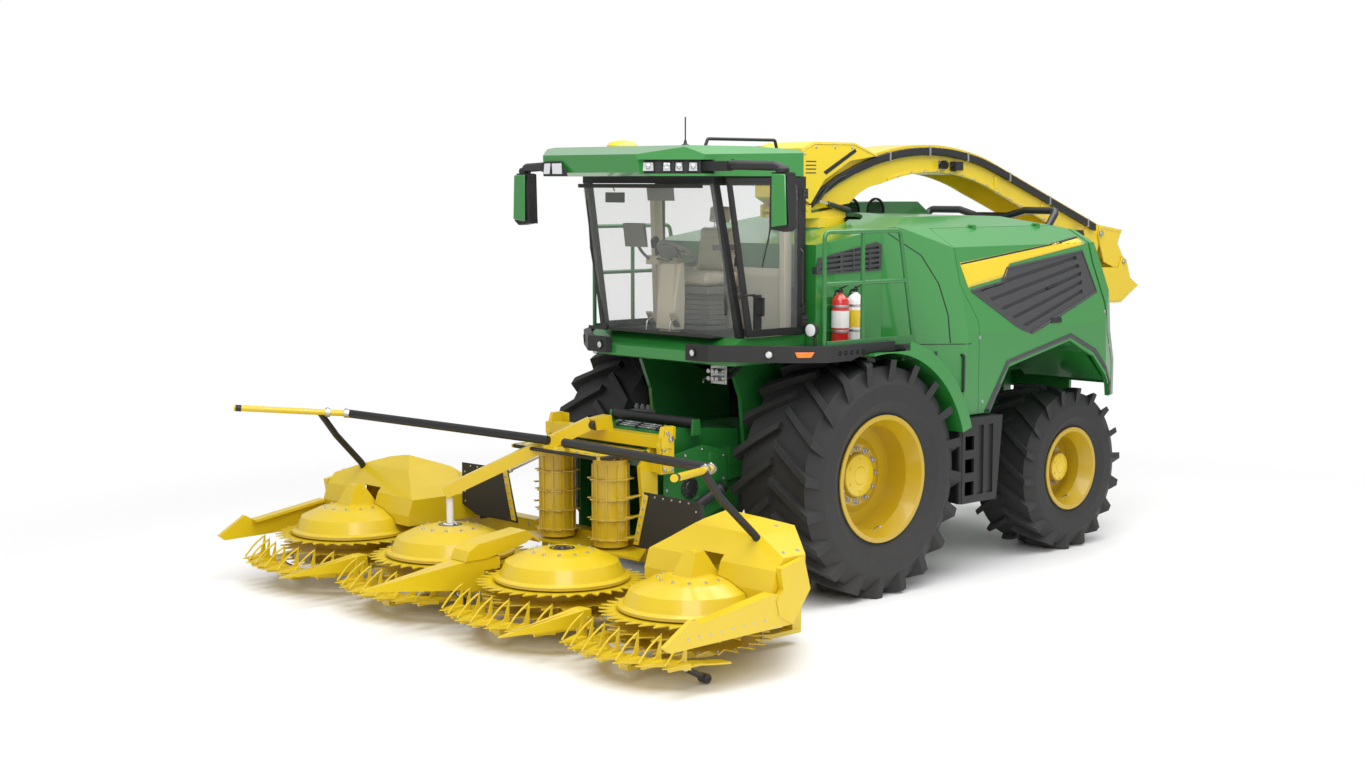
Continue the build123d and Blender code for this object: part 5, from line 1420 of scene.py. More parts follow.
    def rear(self) -> None:
        """Rear lamps, latch and frame of the rear screen."""
        shell = Skin("hood", "rear_screen")
        cases = self.form("rear_lamp_cases", Look.DARK, 0.003)
        reds = self.form("rear_lamps_red", Look.RED, 0.002)
        ambers = self.form("rear_lamps_amber", Look.AMBER, 0.002)
        lights = self.form("rear_work_lamps", Look.LAMP, 0.002)
        for hand in BOTH:
            for z, form in ((1.72, reds), (1.83, ambers)):
                spot = shell.hit((-5.5, hand * 1.17, z), (1, 0, 0), 0.004)
                cases.block(spot + Vector((-0.016, -0.085, -0.045)), spot + Vector((0.004, 0.085, 0.045)))
                form.block(spot + Vector((-0.024, -0.075, -0.036)), spot + Vector((-0.014, 0.075, 0.036)))
            spot = shell.hit((-5.5, hand * 0.95, 3.08), (1, 0, 0), 0.0)
            if spot is not None:
                cases.block(spot + Vector((-0.05, -0.065, -0.045)), spot + Vector((0.01, 0.065, 0.045)))
                lights.block(spot + Vector((-0.058, -0.055, -0.036)), spot + Vector((-0.048, 0.055, 0.036)))
        latch = self.form("rear_screen_latch", Look.DARK, 0.002)
        spot = shell.hit((-5.5, 0.0, 2.262), (1, 0, 0), 0.0)
        latch.block(spot + Vector((-0.03, -0.06, -0.018)), spot + Vector((0.002, 0.06, 0.018)))
        frame_bars = self.form("rear_screen_frame", Look.DARK, 0.002)
        for y in (-0.97, -0.33, 0.33, 0.97):
            low, high = shell.hit((-5.5, y, 2.262), (1, 0, 0), 0.001), shell.hit((-5.5, y, 2.985), (1, 0, 0), 0.001)
            frame_bars.prism([low + LEFT * 0.014, low - LEFT * 0.014, low - LEFT * 0.014 - AHEAD * 0.012,
                low + LEFT * 0.014 - AHEAD * 0.012], high - low)


# Spout


@dataclass
class SpoutDress(Assembly):
    """Housing slots, conduit, hoses, brackets, camera and bolts of the discharge spout.

    Attributes:
        half: half of the duct's width.
        body: body that the duct rides on.
        tail: (x, z) of the duct's upper edge at its end.
        knee: (x, z) where the straight upper edge turns into the arch.
        neck: (x, z) where the arch ends towards the turret.
    """

    half: float = 0.235
    body: str = "spout_arch"
    tail: tuple = (-5.23, 3.13)
    knee: tuple = (-3.2, 3.84)
    neck: tuple = (-1.33, 3.87)

    def build(self) -> None:
        """Make the spout's small parts."""
        self.housing()
        for hand in BOTH:
            self.conduit(hand)
            self.flange(hand)
        self.brackets()
        self.camera()
        self.flap_dress()
        self.base_dress()

    def top(self, x: float) -> float:
        """Height of the duct's upper edge.

        Args:
            x: distance ahead of the front axle, from -5.2 to -1.3.

        Returns:
            The height.
        """
        if x <= self.knee[0]:
            (x0, z0), (x1, z1) = self.tail, self.knee
            return z0 + (x - x0) * (z1 - z0) / (x1 - x0)
        return self.arc(x, self.knee, (-2.25, 3.985), self.neck)

    def low(self, x: float) -> float:
        """Height of the duct's lower edge.

        Args:
            x: distance ahead of the front axle, from -5.1 to -1.5.

        Returns:
            The height.
        """
        if x <= -3.15:
            return 2.865 + (x + 5.14) * (3.575 - 2.865) / (5.14 - 3.15)
        return self.arc(x, (-3.15, 3.575), (-2.24, 3.715), (-1.5, 3.6))

    @staticmethod
    def arc(x: float, one: Place, two: Place, three: Place) -> float:
        """Height of a shallow arc through three points, as a parabola.

        Args:
            x: where.
            one: its first (x, z) point.
            two: its middle point.
            three: its last point.

        Returns:
            The height.
        """
        (a, p), (b, q), (c, r) = one, two, three
        return (p * (x - b) * (x - c) / ((a - b) * (a - c)) + q * (x - a) * (x - c) / ((b - a) * (b - c))
            + r * (x - a) * (x - b) / ((c - a) * (c - b)))

    def housing(self) -> None:
        """Slots, dark strip, top plate and screws of the yellow housing over the turret."""
        for hand in BOTH:
            y = hand * 0.3
            slots = self.form("housing_slots", Look.DARK, 0.001, hand)
            for i in range(4):
                z = 3.7 + i * 0.035
                slots.block((-0.52, min(y, y + hand * 0.002), z), (-0.38, max(y, y + hand * 0.002), z + 0.01))
            self.form("housing_strip", Look.DARK, 0.003, hand).plate(Y, y, hand * 0.006,
                [(-0.62, 3.715), (-0.66, 3.69), (-1.08, 3.905), (-1.06, 3.935)])
            self.form("housing_seam", Look.WORN_YELLOW, 0.002, hand).pipe([(-0.345, y, 3.5), (-0.345, y, 3.915),
                (-0.505, y, 3.972), (-1.045, y, 3.972), (-1.36, y, 3.868)], 0.006, 6, 0.03)
            screws = self.form("housing_screws", Look.STEEL, hand=hand)
            for x, z in ((-0.37, 3.52), (-0.37, 3.88), (-0.52, 3.945), (-0.78, 3.945), (-1.02, 3.945)):
                screws.bolt((x, y + hand * 0.001, z), (0, hand, 0), 0.008)
        self.form("housing_top_plate", Look.DARK, 0.002).block((-0.9, -0.1, 3.988), (-0.7, 0.1, 3.9898))

    def conduit(self, hand: int) -> None:
        """Dark cable duct that follows the arch on one side, with its clips.

        Args:
            hand: 1 for left, -1 for right.
        """
        y0, y1 = hand * self.half, hand * (self.half + 0.045)
        if hand > 0:
            band = self.form("conduit", Look.DARK, 0.006, hand)
            line = [(-0.5, 3.42), (-0.66, 3.54), (-0.86, 3.645), (-1.1, 3.735)]
            line += [(-1.38 - 0.1 * i, self.top(-1.38 - 0.1 * i) - 0.064) for i in range(18)]
            line += [(-3.3, self.top(-3.3) - 0.064), (-5.05, self.top(-5.05) - 0.064)]
            for (xa, za), (xb, zb) in zip(line, line[1:]):
                band.plate(Y, y0, y1 - y0, [(xa, za - 0.038), (xb, zb - 0.038), (xb, zb + 0.038), (xa, za + 0.038)])
        clips = self.form("conduit_clips", Look.STEEL if hand > 0 else Look.DARK_PAINT, 0.001, hand)
        for x in (-1.6, -2.2, -2.8, -3.5, -4.2, -4.9):
            z = self.top(x) - 0.064
            if hand > 0:
                clips.block((x - 0.012, y0, z - 0.045), (x + 0.012, y1 + 0.003, z + 0.045))
            else:
                clips.pipe([(x, y0, z), (x, y0 - 0.016, z)], 0.012, 12)

    def flange(self, hand: int) -> None:
        """Stiffening flanges and bolts along the duct's edges on one side.

        Args:
            hand: 1 for left, -1 for right.
        """
        y = hand * self.half
        lip = self.form("duct_flange", Look.YELLOW, 0.002, hand)
        spots = [-1.6 - 0.1 * i for i in range(16)] + [-3.2, -5.08]
        for a, b in zip(spots, spots[1:]):
            lip.plate(Y, y, hand * 0.012, [(a, self.low(a) + 0.002), (b, self.low(b) + 0.002),
                (b, self.low(b) + 0.034), (a, self.low(a) + 0.034)])
        bolts = self.form("duct_bolts", Look.STEEL, hand=hand)
        for i in range(17):
            x = -1.75 - 0.2 * i
            bolts.bolt((x, y + hand * 0.013, self.low(x) + 0.018), (0, hand, 0), 0.007)
        ribs = self.form("duct_ribs", Look.YELLOW, 0.002, hand)
        for x in (-3.3, -4.1, -4.9):
            ribs.plate(Y, y, hand * 0.014, [(x - 0.02, self.low(x) + 0.03), (x + 0.02, self.low(x) + 0.03),
                (x + 0.02, self.top(x) - 0.13), (x - 0.02, self.top(x) - 0.13)])

    def brackets(self) -> None:
        """Folded brackets, joint box and the work lamp on the arch's left side."""
        y = self.half
        made = self.form("arch_brackets", Look.STEEL, 0.002)
        for x in (-2.42, -2.62):
            made.block((x - 0.045, y, self.low(x) + 0.03), (x + 0.045, y + 0.006, self.low(x) + 0.12))
            made.block((x - 0.045, y, self.low(x) + 0.03), (x + 0.045, y + 0.075, self.low(x) + 0.036))
            made.bolt((x - 0.02, y + 0.006, self.low(x) + 0.09), (0, 1, 0), 0.008)
            made.bolt((x + 0.02, y + 0.006, self.low(x) + 0.09), (0, 1, 0), 0.008)
        box = self.form("arch_joint_box", Look.DARK, 0.004)
        box.block((-2.68, y + 0.006, self.low(-2.62) + 0.04), (-2.56, y + 0.08, self.low(-2.62) + 0.13))
        box.turned((-2.56, y + 0.04, self.low(-2.62) + 0.085), AHEAD, [(0, 14), (30, 14), (34, 10)], 16)
        lamp = self.form("arch_work_lamp", Look.DARK, 0.002)
        middle = Vector((-2.42, y + 0.05, self.low(-2.42) + 0.08))
        lamp.turned(middle, (1, 0.3, -0.2), [(-30, 20), (-15, 42), (20, 48), (24, 48), (24, 42), (16, 40), (16, 0)],
            28)

    def camera(self) -> None:
        """Filling camera with its hood and bracket near the duct's end."""
        x = -4.72
        z = self.low(x)
        case = self.form("spout_camera", Look.DARK, 0.003)
        case.block((x - 0.05, self.half, z + 0.02), (x + 0.05, self.half + 0.075, z + 0.09))
        case.turned((x - 0.05, self.half + 0.038, z + 0.055), (-1, 0, -0.4),
            [(0, 26), (35, 26), (35, 20), (20, 18), (20, 0)], 22)

    def flap_dress(self) -> None:
        """Pivot bolts and edge rolls of the two-piece flap."""
        for hand in BOTH:
            self.form("flap_pivots", Look.STEEL, hand=hand, body="spout_flap").bolt((-5.17, hand * 0.262, 3.06),
                (0, hand, 0), 0.022)
            self.form("flap_tip_pivots", Look.STEEL, hand=hand, body="spout_flap_tip").bolt((-5.6, hand * 0.277,
                2.745), (0, hand, 0), 0.018)
            edge = self.form("flap_edges", Look.WORN_YELLOW, hand=hand, body="spout_flap")
            y = hand * 0.25
            edge.pipe([(-5.175, y, 3.12), (-5.56, y, 3.07), (-5.485, y, 2.955)], 0.006, 6, 0.02)
            rolls = self.form("flap_tip_edges", Look.WORN_YELLOW, hand=hand, body="spout_flap_tip")
            y = hand * 0.266
            rolls.pipe([(-5.215, y, 2.675), (-5.15, y, 2.5), (-5.15, y, 2.32), (-5.545, y, 2.31), (-5.79, y, 2.47)],
                0.006, 6, 0.02)

    def base_dress(self) -> None:
        """Flange bolts round the turret, the lift cylinders with their rods and the hoses up to the arch."""
        ring = self.form("turret_bolts", Look.STEEL, body="machine")
        low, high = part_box("turret_ring")
        middle = (low + high) / 2 - AXLE
        radius = (high.x - low.x) / 2 - 0.022
        for c, s in circle(16, 0.5):
            ring.bolt((middle.x + c * radius, s * radius, high.z - 0.0005), UP, 0.008)
        lift = self.form("lift_cylinder", Look.DARK_PAINT, body="spout_base")
        for hand in BOTH:
            lift.turned((-0.98, hand * 0.3, 3.355), (0.55, 0, 0.12), [(0, 26), (300, 26), (310, 18)], 20)
        rods = self.form("lift_rods", Look.CHROME, body="spout_base")
        for hand in BOTH:
            rods.turned((-0.98 + 0.3, hand * 0.3, 3.42), (0.55, 0, 0.12), [(0, 14), (120, 14)], 18)
        loom = self.form("spout_loom", Look.RUBBER)
        for i in range(3):
            y = 0.262 + i * 0.018
            loom.pipe([(-0.5, 0.25, 3.39 + i * 0.01), (-0.56, y, 3.43), (-0.68, y, 3.55 + i * 0.012),
                (-0.84, y, 3.63 + i * 0.014), (-0.94, y, 3.665 + i * 0.01)], 0.009, 8, 0.06)


# Feeder house and what carries the header


@dataclass
class FeederArea(Assembly):
    """Quick coupler, pipes, roll, plates and bolts between the machine and its header.

    Attributes:
        body: body that the feeder house rides on.
    """

    body: str = "header"

    def build(self) -> None:
        """Make the area's small parts."""
        self.coupler()
        self.roll_and_pipes()
        self.side_plates()
        self.drive_line()

    def coupler(self) -> None:
        """Galvanised multi-coupler under the belt on the left, with its pipes to the frame."""
        plate = self.form("coupler_plate", Look.STEEL, 0.002, body="machine")
        plate.block((1.075, 0.555, 1.885), (1.087, 0.745, 2.075))
        plate.block((1.02, 0.555, 2.063), (1.087, 0.745, 2.075))
        for z in (1.905, 2.045):
            for y in (0.57, 0.73):
                plate.bolt((1.087, y, z), AHEAD, 0.008)
        for row in range(2):
            for column in range(3):
                y, z = 0.6 + column * 0.05, 1.935 + row * 0.065
                plate.turned((1.087, y, z), AHEAD, [(0, 21), (18, 21), (20, 17), (60, 17), (62, 20), (78, 20),
                    (80, 12), (80, 0)], 18)
        plate.pipe([(1.1, 0.548, 1.93), (1.17, 0.548, 1.93), (1.2, 0.575, 1.9)], 0.007, 8, 0.02)
        pipes = self.form("coupler_pipes", Look.RUBBER, body="machine")
        for column in range(3):
            y = 0.6 + column * 0.05
            pipes.pipe([(1.075, y, 1.935), (0.98, y, 1.935), (0.9, y + 0.02, 2.0), (0.86, y + 0.03, 2.1)], 0.012, 8,
                0.04)
            pipes.pipe([(1.075, y, 2.0), (1.0, y, 2.0), (0.94, y + 0.02, 2.04), (0.92, y + 0.03, 2.11)], 0.012, 8,
                0.04)

    def roll_and_pipes(self) -> None:
        """Black roll across the feeder's top, steel pipes with their fittings and clamps."""
        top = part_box("feeder_house")[1].z
        self.form("feeder_roll", Look.DARK, 0.002).turned((1.24, -0.52, top + 0.045), LEFT,
            [(0, 20), (0, 42), (20, 45), (1020, 45), (1040, 42), (1040, 20)], 28)
        mounts = self.form("roll_mounts", Look.FRAME_GREEN, 0.003)
        for y in (-0.545, 0.52):
            mounts.plate(Y, y, 0.022, [(1.19, top - 0.06), (1.3, top - 0.06), (1.285, top + 0.08),
                (1.205, top + 0.08)])
        pipes = self.form("feeder_pipes", Look.STEEL)
        for i in range(3):
            x, z = 1.345 + i * 0.035, top - 0.01 - i * 0.01
            pipes.pipe([(x, -0.4 + i * 0.05, z - 0.02), (x, -0.36 + i * 0.05, z + 0.012),
                (x, 0.36 - i * 0.05, z + 0.012), (x, 0.4 - i * 0.05, z - 0.02)], 0.008, 8, 0.02)
            for y in (-0.2, 0.1, 0.28):
                pipes.turned((x, y, z + 0.012), LEFT, [(0, 13), (26, 13)], 6)
        clamps = self.form("pipe_clamps", Look.DARK, 0.002)
        for y in (-0.3, -0.05, 0.22):
            clamps.plate(Y, y, 0.03, [(1.325, top - 0.03), (1.435, top - 0.05), (1.435, top - 0.012),
                (1.325, top + 0.018)])
        block = self.form("valve_block", Look.ENGINE, 0.003)
        block.block((1.0, -0.46, top - 0.02), (1.12, -0.24, top + 0.075))
        for i in range(3):
            block.turned((1.06, -0.43 + i * 0.075, top + 0.075), UP, [(0, 22), (35, 22), (38, 14), (52, 14)], 18)

    def side_plates(self) -> None:
        """Shield plates, bolt rows and ribs of the feeder house and its bearing caps."""
        for hand in BOTH:
            y = hand * 0.5605
            plate = self.form("feeder_plate", Look.FRAME_GREEN, 0.003, hand)
            plate.plate(Y, y, hand * 0.008, [(0.9, 0.8), (1.5, 0.62), (1.66, 0.7), (1.66, 1.28), (1.2, 1.36),
                (0.9, 1.28)])
            plate.plate(Y, y, hand * 0.02, [(1.02, 0.88), (1.12, 0.85), (1.12, 1.29), (1.02, 1.27)])
            bolts = self.form("feeder_bolts", Look.STEEL, hand=hand)
            for x, z in ((0.94, 0.84), (1.25, 0.74), (1.48, 0.66), (1.62, 0.74), (1.62, 1.24), (1.4, 1.28),
                    (1.2, 1.32), (0.94, 1.24), (0.94, 1.04), (1.62, 1.0)):
                bolts.bolt((x, y + hand * 0.008, z), (0, hand, 0), 0.01)
            cap = self.form("feeder_bearing", Look.DARK_PAINT, 0.002, hand)
            cap.turned((1.36, y + hand * 0.008, 1.0), (0, hand, 0), [(0, 95), (14, 95), (18, 60), (26, 55), (30, 30),
                (30, 0)], 32)
            for c, s in circle(6):
                cap.bolt((1.36 + c * 0.078, y + hand * 0.022, 1.0 + s * 0.078), (0, hand, 0), 0.008)

    def drive_line(self) -> None:
        """Shielded drive shaft to the header on the left, with its gearbox flange."""
        self.form("drive_shield", Look.DARK, 0.002).turned((1.02, 0.64, 0.98), (1, 0, -0.42),
            [(0, 20), (0, 56), (50, 60), (70, 46), (500, 44), (520, 58), (580, 56), (580, 20)], 26)
        self.form("shield_stay", Look.STEEL, 0.001).plate(Y, 0.568, 0.06,
            [(1.24, 0.91), (1.28, 0.89), (1.28, 0.83), (1.24, 0.85)])


# Header


@dataclass
class HeaderDress(Assembly):
    """Rivets, edges, combs, plates, bolts and bare steel parts of the maize header.

    Attributes:
        pitch: distance between neighbouring rotors.
        rotor_x: the rotors' line ahead of the front axle.
        body: body that the header rides on.
    """

    body: str = "header"
    pitch: float = 1.486
    rotor_x: float = 2.94

    def build(self) -> None:
        """Make the header's small parts."""
        self.rotor_bolts()
        self.domes()
        self.spears()
        self.rubber()
        self.frame_dress()
        for hand in BOTH:
            self.wing(hand)
            self.guide_bar(hand)
            self.end_divider(hand)
        self.skids()
        self.drums()
        self.dividers()

    def rotor_bolts(self) -> None:
        """Bolted cutting segments on each rotor's lower disc and ribs on its drum."""
        for number in range(4):
            y0 = (number - 1.5) * self.pitch
            body = f"rotor_{number + 1}"
            bolts = self.form(f"rotor_bolts_{number + 1}", Look.STEEL, body=body)
            for c, s in circle(24, 0.5):
                bolts.bolt((self.rotor_x + c * 0.545, y0 + s * 0.545, 0.24), UP, 0.01)
            ribs = self.form(f"rotor_ribs_{number + 1}", Look.WORN_YELLOW, 0.002, body=body)
            for c, s in circle(16):
                out, side = Vector((c, s, 0)), Vector((-s, c, 0))
                foot = Vector((self.rotor_x, y0, 0.262)) + out * 0.338
                ribs.prism([foot - side * 0.006, foot + side * 0.006, foot + side * 0.006 + out * 0.05,
                    foot - side * 0.006 + out * 0.05], (0, 0, 0.05))

    def domes(self) -> None:
        """Ring bolts, edge lips and lids of the rotor covers."""
        for number in range(4):
            y0 = (number - 1.5) * self.pitch
            ring = self.form(f"dome_bolts_{number + 1}", Look.STEEL)
            for c, s in circle(12, 0.5):
                ring.bolt((self.rotor_x + c * 0.245, y0 + s * 0.245, 0.6865), (c * 0.15, s * 0.15, 1), 0.009)
            lip = self.form(f"dome_lip_{number + 1}", Look.WORN_YELLOW)
            radius = 0.5455
            lip.turned((self.rotor_x, y0, 0.0), UP, [(0.48, radius), (0.48, radius + 0.006), (0.488, radius + 0.006),
                (0.488, radius)], 64, ring=True, per_metre=1)
            if number in (1, 2):
                lid = self.form(f"dome_lid_{number + 1}", Look.DARK_PAINT, 0.001)
                lid.turned((self.rotor_x, y0, 0.7), UP, [(0, 105), (6, 105), (8, 85), (4, 80), (4, 40), (18, 34),
                    (20, 0)], 40)
                lid.bolt((self.rotor_x, y0 + 0.06, 0.704), UP, 0.012)
                lid.bolt((self.rotor_x, y0 - 0.06, 0.704), UP, 0.012)

    def spears(self) -> None:
        """Slim rods that run from each finger's upright blade down to its tip."""
        for number in range(4):
            y0 = (number - 1.5) * self.pitch
            rods = self.form(f"finger_rods_{number + 1}", Look.HEADER_YELLOW)
            for y, reach, length in ((0, 0.94, 0.24), (0.185, 0.925, 0.235), (0.37, 0.875, 0.235),
                    (0.56, 0.795, 0.225)):
                for hand in BOTH if y else (1,):
                    x, tail, side = self.rotor_x + reach, self.rotor_x + reach - length, y0 + hand * y
                    rods.pipe([(tail + 0.012, side, 0.405), ((x + tail) / 2, side, 0.345), (x - 0.012, side, 0.24)],
                        0.0085, 6, 0.08)

    def rubber(self) -> None:
        """Rivets and the bolted strips that hold the rubber panels beside the drum housing."""
        for hand in BOTH:
            rivets = self.form("rubber_rivets", Look.STEEL, hand=hand)
            rows = [(0.93 + i * 0.1, 1.06) for i in range(6)] + [(1.515, 1.0 - i * 0.09) for i in range(4)]
            for y, z in rows:
                rivets.turned((2.191, hand * y, z), AHEAD, [(-1, 10), (3, 9), (5, 4), (5, 0)], 14)
            self.form("rubber_strip", Look.HEADER_YELLOW, 0.002, hand).plate(X, 2.191, 0.008,
                [(hand * 0.775, 0.64), (hand * 0.835, 0.64), (hand * 0.955, 1.06), (hand * 0.895, 1.075)])
            bolts = self.form("rubber_strip_bolts", Look.STEEL, hand=hand)
            for i in range(6):
                share = (i + 0.5) / 6
                bolts.bolt((2.199, hand * (0.805 + 0.12 * share), 0.65 + 0.405 * share), AHEAD, 0.009)

    def frame_dress(self) -> None:
        """Gussets and bolts of the yellow coupling towers, rubber edge of the tray, combs by the drums."""
        for hand in BOTH:
            y = hand * 0.742
            tower = self.form("tower_gussets", Look.HEADER_YELLOW, 0.003, hand)
            tower.plate(Y, y, hand * 0.014, [(1.72, 1.2), (1.835, 1.2), (1.845, 1.4), (1.805, 1.55), (1.78, 1.55),
                (1.775, 1.25), (1.72, 1.24)])
            tower.plate(Y, hand * 0.62, hand * 0.14, [(1.7, 1.47), (1.706, 1.47), (1.706, 1.575), (1.7, 1.575)])
            bolts = self.form("tower_bolts", Look.STEEL, hand=hand)
            for x, z in ((1.735, 1.22), (1.82, 1.22), (1.828, 1.39), (1.793, 1.53)):
                bolts.bolt((x, y + hand * 0.014, z), (0, hand, 0), 0.012)
            self.form("tower_pin", Look.STEEL, 0.002, hand).turned((1.76, hand * 0.69, 1.48), (0, hand, 0),
                [(0, 24), (85, 24), (88, 16), (88, 0)], 22)
        self.form("tray_rubber_edge", Look.RUBBER).pipe([(1.86, -0.572, 1.352), (2.36, -0.572, 1.352),
            (2.402, -0.53, 1.352), (2.402, 0.53, 1.352), (2.36, 0.572, 1.352), (1.86, 0.572, 1.352)], 0.016, 10, 0.03)
        tray = self.form("tray_bolts", Look.STEEL)
        for i in range(9):
            tray.bolt((2.345, -0.48 + i * 0.12, 1.365), UP, 0.01)
        for x in (1.92, 2.06, 2.2):
            for hand in BOTH:
                tray.bolt((x, hand * 0.53, 1.365), UP, 0.01)
        combs = self.form("drum_combs", Look.WORN_YELLOW, 0.001)
        for hand in BOTH:
            for z in (0.655, 0.825, 0.995):
                combs.plate(Z, z, 0.01, [(1.905, hand * 0.555), (1.905, hand * 0.595), (2.1, hand * 0.64),
                    (2.12, hand * 0.59)])
        tie = self.form("tie_rod", Look.WHITE)
        tie.pipe([(1.905, -1.2, 1.02), (1.905, -0.66, 1.24)], 0.014, 12)
        tie.turned((1.905, -1.2, 1.02), (0, -0.54, -0.22), [(0, 24), (40, 24)], 14)
        tie.turned((1.905, -0.66, 1.24), (0, 0.54, 0.22), [(0, 24), (40, 24)], 14)
        beam = self.form("beam_bolts", Look.STEEL)
        for i in range(24):
            y = -1.98 + i * 0.172
            if abs(y) > 0.62:
                beam.bolt((1.9005, y, 0.555), AHEAD, 0.01)
        sleeve = self.form("stay_sleeve", Look.WHITE, 0.001)
        sleeve.turned((self.rotor_x, -self.pitch / 2, 0.7), UP, [(0, 30), (235, 30), (245, 27)], 24)
        sleeve.turned((self.rotor_x, -self.pitch / 2, 0.7), UP, [(0, 62), (12, 62), (16, 34)], 24)
        self.form("stay_clamps", Look.DARK_PAINT, 0.002).turned((1.955, -0.03, 1.545), (0, 1, 0),
            [(-72, 45), (72, 45)], 28)

    def wing(self, hand: int) -> None:
        """Edge strip and bolts of a wing's cover.

        Args:
            hand: 1 for left, -1 for right.
        """
        cover = Skin("wing_hoods")
        bolts = self.form("wing_bolts", Look.STEEL, hand=hand)
        for x, y in ((1.96, 1.66), (1.96, 1.86), (1.96, 2.06), (2.3, 1.66), (2.3, 2.5), (2.45, 2.86), (2.6, 2.86)):
            spot = cover.hit((x, hand * y, 2.2), (0, 0, -1), 0.0)
            if spot is not None:
                bolts.bolt(spot, UP, 0.01)
        edge = self.form("wing_edge", Look.WORN_YELLOW, hand=hand)
        line = []
        for i in range(14):
            y = 1.6 + i * 0.095
            spot = cover.hit((2.06, hand * y, 2.2), (0, 0, -1), 0.003)
            if spot is not None:
                line.append(spot)
        if len(line) > 2:
            edge.pipe(line, 0.006, 6)

    def guide_bar(self, hand: int) -> None:
        """Clamps with their bolts and the end cap of one crop guide bar.

        Args:
            hand: 1 for left, -1 for right.
        """
        clamp = self.form("guide_clamp", Look.STEEL, 0.002, hand)
        head = Vector((0.9, hand * 0.538, 0.08)).normalized()
        spot = Vector((2.858, hand * 2.373, 1.511))
        clamp.turned(spot, head, [(0, 30), (0, 40), (45, 40), (45, 30)], 22)
        clamp.turned(spot + head * 0.17, head, [(0, 30), (0, 40), (45, 40), (45, 30)], 22)
        clamp.bolt(spot + head * 0.022 + UP * 0.04, UP, 0.009)
        clamp.bolt(spot + head * 0.192 + UP * 0.04, UP, 0.009)
        cap = self.form("guide_cap", Look.DARK, hand=hand)
        end = Vector((3.734, hand * 2.896, 1.5894))
        cap.turned(end - head * 0.06, head, [(0, 28.5), (0, 30), (50, 30), (56, 20), (56, 0)], 20)

    def end_divider(self, hand: int) -> None:
        """Hinge boss, bolts and rivets of an end divider.

        Args:
            hand: 1 for left, -1 for right.
        """
        boss = self.form("divider_boss", Look.STEEL, 0.001, hand)
        boss.turned((2.615, hand * 2.972, 0.735), (0, hand, 0), [(0, 34), (3, 34), (4, 20), (7, 19), (7, 0)], 24)
        for x, z in ((2.53, 0.62), (2.53, 0.84), (2.71, 0.8), (2.7, 0.62)):
            boss.turned((x, hand * 2.972, z), (0, hand, 0), [(0, 16), (4, 16), (6, 10), (6, 0)], 6)
        rivets = self.form("divider_rivets", Look.STEEL, hand=hand)
        for i in range(8):
            x = 2.9 + i * 0.11
            rivets.turned((x, hand * 2.971, 0.47 - i * 0.002), (0, hand, 0), [(0, 11), (3, 10), (4, 4), (4, 0)], 14)

    def skids(self) -> None:
        """Galvanised knuckles and wear shoes of the height sensors."""
        for y, name in ((-2.65, "right"), (0.0, "middle"), (2.65, "left")):
            z = 0.301 if y == 0 else 0.169
            knuckle = self.form(f"skid_knuckle_{name}", Look.STEEL, 0.001)
            knuckle.turned((3.44, y - 0.062, z), LEFT, [(0, 14), (0, 28), (18, 30), (18, 14)], 22)
            knuckle.turned((3.44, y + 0.044, z), LEFT, [(0, 14), (0, 30), (18, 28), (18, 14)], 22)
            shoe = self.form(f"skid_shoe_{name}", Look.DARK_PAINT, 0.001)
            shoe.turned((3.2, y - 0.0365, 0.042), LEFT, [(0, 20), (0, 34), (-4, 34), (-4, 20)], 24, ring=True)
            shoe.turned((3.2, y + 0.0365, 0.042), LEFT, [(0, 20), (0, 34), (4, 34), (4, 20)], 24, ring=True)

    def drums(self) -> None:
        """Bolts on the feed drums' tops, paddles' wear strips down their sides."""
        for hand in BOTH:
            side = SIDE_NAMES[hand]
            body = f"feed_drum_{side}"
            middle, top = node_middle(body) - AXLE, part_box(body)[1].z
            strips = self.form("drum_strips", Look.WORN_YELLOW, 0.002, hand, body=body)
            for c, s in circle(10):
                out, across = Vector((c, s, 0)), Vector((-s, c, 0))
                foot = Vector((middle.x, middle.y, 0.6)) + out * 0.139
                strips.prism([foot - across * 0.007, foot + across * 0.007, foot + across * 0.007 + out * 0.022,
                    foot - across * 0.007 + out * 0.022], (0, 0, 0.66))
            bolts = self.form("drum_bolts", Look.STEEL, hand=hand, body=body)
            for c, s in circle(8, 0.5):
                bolts.bolt((middle.x + c * 0.095, middle.y + s * 0.095, top - 0.001), UP, 0.01)

    def dividers(self) -> None:
        """Ridge strips and bolts on the inner divider noses."""
        for y, name in ((-self.pitch, "right"), (0.0, "middle"), (self.pitch, "left")):
            nose = self.form(f"nose_strip_{name}", Look.WORN_YELLOW, 0.001)
            if name == "middle":
                nose.prism([(3.45, y - 0.012, 0.548), (3.45, y + 0.012, 0.548), (4.2, y + 0.005, 0.463),
                    (4.2, y - 0.005, 0.463)], (0, 0, 0.006))
            else:
                nose.prism([(3.45, y - 0.01, 0.388), (3.45, y + 0.01, 0.388), (4.05, y + 0.004, 0.325),
                    (4.05, y - 0.004, 0.325)], (0, 0, 0.005))
            for hand in BOTH:
                x, z = (3.2, 0.44) if name == "middle" else (3.365, 0.33)
                width = 0.0955 if name == "middle" else 0.0655
                nose.bolt((x, y + hand * width, z), (0, hand, 0), 0.01)


# Studio

WHITE = (1, 1, 1, 1)


